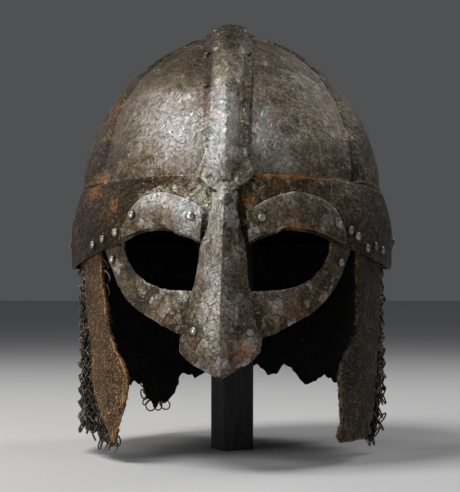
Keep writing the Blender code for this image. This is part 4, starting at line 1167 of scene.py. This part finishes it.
class HELMET_OT_guard(Operator):
    """Build the brow band, the eyebrows, the nose guard and the rims below the eyes"""

    bl_idname = "helmet.guard"
    bl_label = "Guard"

    def execute(self, context):
        finish = iron("iron_band", wear_and_light=-0.08, rust=0.20, relief=1.6, brown=0.50, gloss=0.10,
                      tint=(1.08, 1.0, 0.82))
        plate("band_ring", band, PLATE_WALL, finish, "brow_band", closed=True, marks=band_shade_and_rust)
        brow = iron("iron_brow", wear_and_light=0.06, rust=0.14, crackle=0.8, relief=1.4)
        for side, rows in (("left", EYEBROW_LEFT), ("right", EYEBROW_RIGHT)):
            crescent = eyebrow(rows, EYEBROW_WORN_SLANT)
            place = crescent if side == "right" else mirrored(crescent)
            plate("brow_crescent_" + side, place, EYEBROW_WALL, brow, "eyebrow_" + side, cell=0.0009,
                  chips=0.5, depth=0.7)
        nose = iron("iron_nose", wear_and_light=0.10, rust=0.08, crackle=0.9, relief=1.4, tint=(1.03, 1.0, 0.96))
        plate("nose_guard", nasal, NASAL_WALL, nose, "nasal", cell=0.0009, chips=0.9, ridged=True, lip=0.6)
        rim = iron("iron_rims", wear_and_light=0.0, rust=0.14, crackle=1.3, relief=1.5, tint=(1.05, 1.0, 0.92))
        for side in ("left", "right"):
            place = eye_rim if side == "right" else mirrored(eye_rim)
            plate("rim_" + side, place, NASAL_WALL, rim, "eye_rim_" + side, cell=0.0008, chips=0.9)
        return {"FINISHED"}


def rivet_head(radius, dome):
    """A domed head with a short foot under it, standing up from the origin."""
    shape = bmesh.new()
    angles = [math.radians(15 * k) for k in range(7)]
    profile = [(radius * math.cos(angle), dome * math.sin(angle)) for angle in angles]
    profile.insert(0, (radius * 0.9, -RIVET_GAP * 1.6))
    line = [shape.verts.new((reach, 0.0, rise)) for reach, rise in profile]
    edges = [shape.edges.new(pair) for pair in zip(line, line[1:])]
    bmesh.ops.spin(shape, geom=line + edges, cent=(0, 0, 0), axis=(0, 0, 1), angle=2 * math.pi,
                   steps=RIVET_STEPS, use_merge=True)
    bmesh.ops.remove_doubles(shape, verts=shape.verts[:], dist=MERGE)
    bmesh.ops.contextual_create(shape, geom=[edge for edge in shape.edges if edge.is_boundary])
    bmesh.ops.recalc_face_normals(shape, faces=shape.faces[:])
    return shape


class HELMET_OT_rivets(Operator):
    """Build every rivet as a hammered dome on its plate"""

    bl_idname = "helmet.rivets"
    bl_label = "Rivets"

    def execute(self, context):
        bright = iron("iron_rivets", wear_and_light=0.10, rust=-0.1, crackle=0.0, relief=0.25)
        dull = iron("iron_flat_rivets", wear_and_light=-0.05, rust=0.0, crackle=0.0, relief=0.8)
        for name, (point, direction), (radius, dome) in rivet_seats():
            flat = dome < FLAT_DOME
            shape = rivet_head(radius, dome)
            turn = direction.to_track_quat("Z", "Y").to_matrix().to_4x4()
            seat = Matrix.Translation(point + direction * RIVET_GAP) @ turn
            bmesh.ops.transform(shape, matrix=seat, verts=shape.verts[:])
            layer = shape.verts.layers.float_color.new("marks")
            for vert in shape.verts:
                stands = (vert.co - point).dot(direction) / dome
                vert.co += vert.normal * radius * 0.05 * noise.noise(vert.co * 420.0)
                # Domed rivets darken towards their feet, painted shade where the head meets the plate, and
                # are rubbed lighter on top
                rubbed_top_shaded_foot = 0.0 if flat else 0.9 * min(1.0, stands) - 0.6
                vert[layer] = (0.5 * spots_at(WORN_AND_LIT_SPOTS, vert.co) + rubbed_top_shaded_foot, 0.0, 0.0, 1.0)
            adopt(mesh_piece("head_" + name, shape, [dull if flat else bright]), name)
        return {"FINISHED"}


def frays(name, place, finish, seed):
    """Short torn fibres along a flap's edges, most of them along the front one."""
    chance = random.Random(seed)
    shape = bmesh.new()
    for number in range(FRAY_COUNT):
        up = chance.random()
        across = chance.choice((0.0, 0.0, 1.0))
        if up < 0.05:
            across = chance.random()
        facing = seat_of(place, min(0.985, max(0.015, across)), min(0.985, max(0.015, up)))[1]
        aside = (place(0.9, up) - place(0.1, up)).normalized() * (1.0 if across > 0.5 else -1.0)
        droop = Vector((0.0, 0.0, chance.uniform(-1.4, 0.3)))
        way = (aside + droop + facing * chance.uniform(-0.5, 0.6)).normalized()
        length = chance.uniform(*FRAY_LENGTHS)
        made = bmesh.ops.create_cone(shape, cap_ends=True, segments=3, radius1=FRAY_RADII[0],
                                     radius2=FRAY_RADII[1], depth=length)
        turn = way.to_track_quat("Z", "Y").to_matrix().to_4x4()
        start = place(across, up) - facing * chance.uniform(0.0002, FLAP_WALL * 0.8)
        seat = Matrix.Translation(start + way * length * 0.4) @ turn
        bmesh.ops.transform(shape, matrix=seat, verts=made["verts"])
    layer = shape.verts.layers.float_color.new("marks")
    for vert in shape.verts:
        vert[layer] = (0.3, 0.0, 0.7, 1.0)
    return adopt(mesh_piece(name, shape, [finish]))


def flap_shade_and_wear(point, across, up):
    """A flap is darker at its top, painted shade under the band, paler towards its foot, and rubbed pale
    along its front edge.
    """
    front = 1.0 - clamp((across if point.x > 0.0 else 1.0 - across) / 0.25)
    return 0.30 * (1.0 - up) - 0.22 * up + 0.12 * front, 0.0


class HELMET_OT_flaps(Operator):
    """Build the two leather cheek flaps with their frayed edges"""

    bl_idname = "helmet.flaps"
    bl_label = "Cheek flaps"

    def execute(self, context):
        look = context.scene.helmet_leather
        # The flaps' inner sides take the near-black lining colour, painted shade behind the flaps
        inside = leather("leather_inside_shaded", look.lining_and_shade, LINING_SPECKS)
        sides = (
            ("left", mirrored(cheek_flap(FLAP_LEFT)), look.left, 3.2),
            ("right", cheek_flap(FLAP_RIGHT), look.right, 4.6),
        )
        for side, place, colour, specks in sides:
            finish = leather("leather_" + side, colour, specks)
            plate("flap_" + side, place, FLAP_WALL, finish, "cheek_flap_" + side, cell=0.0010, chips=1.1,
                  depth=1.4, inside=inside, marks=flap_shade_and_wear)
            frays("frays_" + side, place, finish, side)
        return {"FINISHED"}


class HELMET_OT_mail(Operator):
    """Build the torn mail curtain, ring by ring, and the old lining behind it"""

    bl_idname = "helmet.mail"
    bl_label = "Mail"

    def execute(self, context):
        size = context.scene.helmet_mail
        chance = random.Random(RING_SEED)
        ring = self.one_ring(size)
        first, last = MAIL_HEM[0].turn, MAIL_HEM[-1].turn
        girth = math.pi * (BOWL_HALF_WIDTH + BOWL_HALF_LENGTH + 2 * GUARD_FLARE) * (last - first) / 360.0
        columns = round(girth / size.across)
        top = BROW_HEIGHT - MAIL_TOP_DROP - size.radius
        rows = int((top - TABLE_GAP - size.radius) / size.down) + 1
        shape = bmesh.new()
        for row in range(rows):
            height = top - row * size.down
            lean = size.lean if row % 2 else -size.lean
            for column in range(columns):
                turn = mix(first, last, (column + 0.5 * (row % 2) + 0.25) / columns)
                if height - size.radius * 0.8 < mail_hem(turn) or chance.random() < RINGS_MISSING:
                    continue
                middle = mail_skin(turn, height, MAIL_WALL * 0.5 + chance.uniform(-0.0003, 0.0005))
                facing = (mail_skin(turn, height, 0.0) - middle).normalized()
                around = Vector((0.0, 0.0, 1.0)).cross(facing).normalized()
                rise = facing.cross(around)
                basis = Matrix((around, rise, facing)).transposed().to_4x4()
                tip = Matrix.Rotation(lean + chance.uniform(-RING_TIP, RING_TIP), 4, "X")
                swing = Matrix.Rotation(chance.uniform(-RING_SWING, RING_SWING), 4, "Y")
                seat = Matrix.Translation(middle) @ basis @ tip @ swing
                ring.transform(seat)
                shape.from_mesh(ring)
                ring.transform(seat.inverted())
        layer = shape.verts.layers.float_color.new("marks")
        for vert in shape.verts:
            vert[layer] = (0.35 * noise.noise(vert.co * 60.0), 0.25 * noise.noise(vert.co * 35.0), 0.0, 1.0)
        finish = iron("iron_mail", wear_and_light=0.02, rust=-0.05, crackle=0.2, relief=0.3, brown=0.7)
        adopt(mesh_piece("mail_rings", shape, [finish]), "mail_curtain")
        self.lining_and_shade(context)
        return {"FINISHED"}

    @staticmethod
    def one_ring(size):
        """A ring of round wire that lies flat about the origin."""
        shape = bmesh.new()
        stand = Matrix.Translation((size.radius, 0.0, 0.0)) @ Matrix.Rotation(math.pi / 2, 4, "X")
        bmesh.ops.create_circle(shape, segments=5, radius=size.wire, matrix=stand)
        bmesh.ops.spin(shape, geom=shape.verts[:] + shape.edges[:], cent=(0, 0, 0), axis=(0, 0, 1),
                       angle=2 * math.pi, steps=size.segments, use_merge=True)
        bmesh.ops.recalc_face_normals(shape, faces=shape.faces[:])
        ring = bpy.data.meshes.new("one_ring")
        shape.to_mesh(ring)
        shape.free()
        ring.shade_smooth()
        return ring

    @staticmethod
    def lining_and_shade(context):
        """A thin lining, near black as painted shade, that keeps the inside of the curtain black."""
        finish = leather("leather_lining_and_shade", context.scene.helmet_leather.lining_and_shade, LINING_SPECKS)
        first, last = MAIL_HEM[0].turn + LINING_ENDS, MAIL_HEM[-1].turn - LINING_ENDS

        def place(across, up):
            turn = mix(first, last, across)
            ragged = 0.005 * noise.noise(Vector((turn * 0.35, 0.0, 5.0)))
            behind = clamp((60.0 - abs(turn - 180.0)) / 12.0) - 1.2 * clamp(1.6 - abs(turn - 216.0) / 7.0)
            hem = mail_hem(turn) + 0.006 - 0.009 * behind + ragged
            return mail_skin(turn, mix(hem, BROW_HEIGHT - MAIL_TOP_DROP, up), MAIL_WALL * 1.3)

        cloth = plate("neck_lining", place, LINING_WALL, finish, "mail_curtain", cell=0.0022, chips=2.5,
                      depth=0.8, inside=finish)


def upright_edges(shape):
    return [edge for edge in shape.edges if abs((edge.verts[0].co - edge.verts[1].co).normalized().z) > 0.9]


class HELMET_OT_post(Operator):
    """Build the square wooden post and its round head"""

    bl_idname = "helmet.post"
    bl_label = "Post"

    def execute(self, context):
        rim_height = height_of_reach(POST_HEAD_RADIUS / BOWL_HALF_WIDTH)
        edge = skin(90.0, rim_height, -PLATE_WALL - POST_HEAD_GAP)
        post = self.square_post(edge.z - POST_HEAD_DEPTH / 2.0)
        adopt(mesh_piece("wooden_post", post, [weathered_wood()]), "stand_post")
        head = self.round_head(edge)
        adopt(mesh_piece("post_head", head, [weathered_wood()]), "stand_post")
        return {"FINISHED"}

    @staticmethod
    def square_post(top):
        """A square post up to a height, its corners rounded and its sides streaked."""
        shape = bmesh.new()
        bmesh.ops.create_cube(shape, size=1.0)
        bmesh.ops.scale(shape, vec=(POST_SIDE, POST_SIDE, top), verts=shape.verts[:])
        bmesh.ops.translate(shape, vec=(0.0, 0.0, top / 2.0), verts=shape.verts[:])
        bmesh.ops.bevel(shape, geom=upright_edges(shape), offset=POST_EDGE, segments=3, profile=0.5,
                        affect="EDGES", material=-1)
        bmesh.ops.subdivide_edges(shape, edges=upright_edges(shape), cuts=90, use_grid_fill=True)
        level = [edge for edge in shape.edges if edge.calc_length() > POST_SIDE * 0.7]
        bmesh.ops.subdivide_edges(shape, edges=level, cuts=10, use_grid_fill=True)
        turn = Matrix.Rotation(math.radians(POST_TURN), 4, "Z")
        bmesh.ops.transform(shape, matrix=turn, verts=shape.verts[:])
        shape.normal_update()
        for vert in shape.verts:
            if vert.co.z > 0.0005:
                streak = noise.noise(Vector((vert.co.x * 330.0, vert.co.y * 330.0, vert.co.z * 14.0)))
                vert.co += vert.normal * (0.00035 * streak - 0.0001)
        return shape

    @staticmethod
    def round_head(edge):
        """The round head that fits under the crown, out to its edge."""
        head = bmesh.new()
        line = [(0.0, edge.z - POST_HEAD_DEPTH), (edge.x - 0.001, edge.z - POST_HEAD_DEPTH)]
        line.append((edge.x, edge.z - POST_HEAD_DEPTH + 0.001))
        for ring in range(6, -1, -1):
            height = height_of_reach(POST_HEAD_RADIUS / BOWL_HALF_WIDTH * ring / 6)
            spot = skin(90.0, height, -PLATE_WALL - POST_HEAD_GAP)
            line.append((max(0.0, spot.x) if ring else 0.0, spot.z))
        verts = [head.verts.new((reach, -HELMET_FORWARD, rise)) for reach, rise in line]
        edges = [head.edges.new(pair) for pair in zip(verts, verts[1:])]
        bmesh.ops.spin(head, geom=verts + edges, cent=(0, -HELMET_FORWARD, 0), axis=(0, 0, 1),
                       angle=2 * math.pi, steps=40, use_merge=True)
        bmesh.ops.remove_doubles(head, verts=head.verts[:], dist=MERGE)
        bmesh.ops.recalc_face_normals(head, faces=head.faces[:])
        return head


class HELMET_OT_stage(Operator):
    """Build the floor, the soft lights and the camera"""

    bl_idname = "helmet.stage"
    bl_label = "Stage"

    def execute(self, context):
        scene = context.scene
        self.floor()
        world = bpy.data.worlds.new("studio")
        scene.world = world
        world.use_nodes = True
        sky = world.node_tree.nodes["Background"]
        sky.inputs["Color"].default_value = SKY_COLOUR
        sky.inputs["Strength"].default_value = SKY_STRENGTH
        for row in LAMPS:
            self.lamp(row)
        scene.camera = self.camera()
        scene.view_settings.view_transform = "Standard"
        return {"FINISHED"}

    @staticmethod
    def floor():
        shape = bmesh.new()
        bmesh.ops.create_grid(shape, x_segments=1, y_segments=1, size=FLOOR_SIZE)
        material = bpy.data.materials.new("pale_floor")
        material.use_nodes = True
        shader = material.node_tree.nodes["Principled BSDF"]
        shader.inputs["Base Color"].default_value = FLOOR_COLOUR
        shader.inputs["Roughness"].default_value = 0.85
        mesh_piece("floor", shape, [material])

    @staticmethod
    def lamp(row):
        """A square soft light that faces the helmet."""
        data = bpy.data.lights.new(row.name, "AREA")
        data.size = row.size
        data.energy = row.power
        data.color = row.colour
        lamp = bpy.data.objects.new(row.name, data)
        bpy.context.scene.collection.objects.link(lamp)
        lamp.location = row.place
        aim = Vector((0.0, 0.0, LAMP_AIM_HEIGHT)) - lamp.location
        lamp.rotation_euler = aim.to_track_quat("-Z", "Y").to_euler()

    @staticmethod
    def camera():
        """The camera at the photograph's angle."""
        camera = bpy.data.objects.new("camera", bpy.data.cameras.new("camera"))
        bpy.context.scene.collection.objects.link(camera)
        turn = math.radians(CAMERA_TURN)
        right = Vector((math.cos(turn), math.sin(turn), 0.0))
        forward = Vector((-math.sin(turn), math.cos(turn), 0.0))
        middle = Vector((0.0, -HELMET_FORWARD, CAMERA_HEIGHT))
        camera.location = right * CAMERA_ASIDE - forward * CAMERA_DISTANCE + middle
        camera.rotation_euler = (math.pi / 2 + math.radians(CAMERA_PITCH), 0.0, turn)
        camera.data.lens = CAMERA_LENS
        camera.data.sensor_width = CAMERA_SENSOR
        camera.data.clip_start = CAMERA_NEAR
        return camera


class HELMET_PT_sidebar(Panel):
    """Lists the helmet's pieces in the sidebar"""

    bl_idname = "HELMET_PT_sidebar"
    bl_label = "Norse iron helmet"
    bl_space_type = "VIEW_3D"
    bl_region_type = "UI"
    bl_category = "Helmet"

    def draw(self, context):
        for step in STEPS:
            self.layout.operator(step.bl_idname)
        for settings in (context.scene.helmet_iron, context.scene.helmet_mail, context.scene.helmet_leather):
            for label in settings.__annotations__:
                self.layout.prop(settings, label)


SETTINGS = (IronFinish, MailSize, LeatherFinish)
STEPS = (
    HELMET_OT_stage,
    HELMET_OT_dome,
    HELMET_OT_crest,
    HELMET_OT_guard,
    HELMET_OT_rivets,
    HELMET_OT_flaps,
    HELMET_OT_mail,
    HELMET_OT_post,
)


def register():
    for kind in (*SETTINGS, *STEPS, HELMET_PT_sidebar):
        bpy.utils.register_class(kind)
    bpy.types.Scene.helmet_iron = PointerProperty(type=IronFinish)
    bpy.types.Scene.helmet_mail = PointerProperty(type=MailSize)
    bpy.types.Scene.helmet_leather = PointerProperty(type=LeatherFinish)


def unregister():
    del bpy.types.Scene.helmet_leather
    del bpy.types.Scene.helmet_mail
    del bpy.types.Scene.helmet_iron
    for kind in reversed((*SETTINGS, *STEPS, HELMET_PT_sidebar)):
        bpy.utils.unregister_class(kind)


def main():
    register()
    for step in STEPS:
        group, name = step.bl_idname.split(".")
        getattr(getattr(bpy.ops, group), name)()


if __name__ == "__main__":
    main()
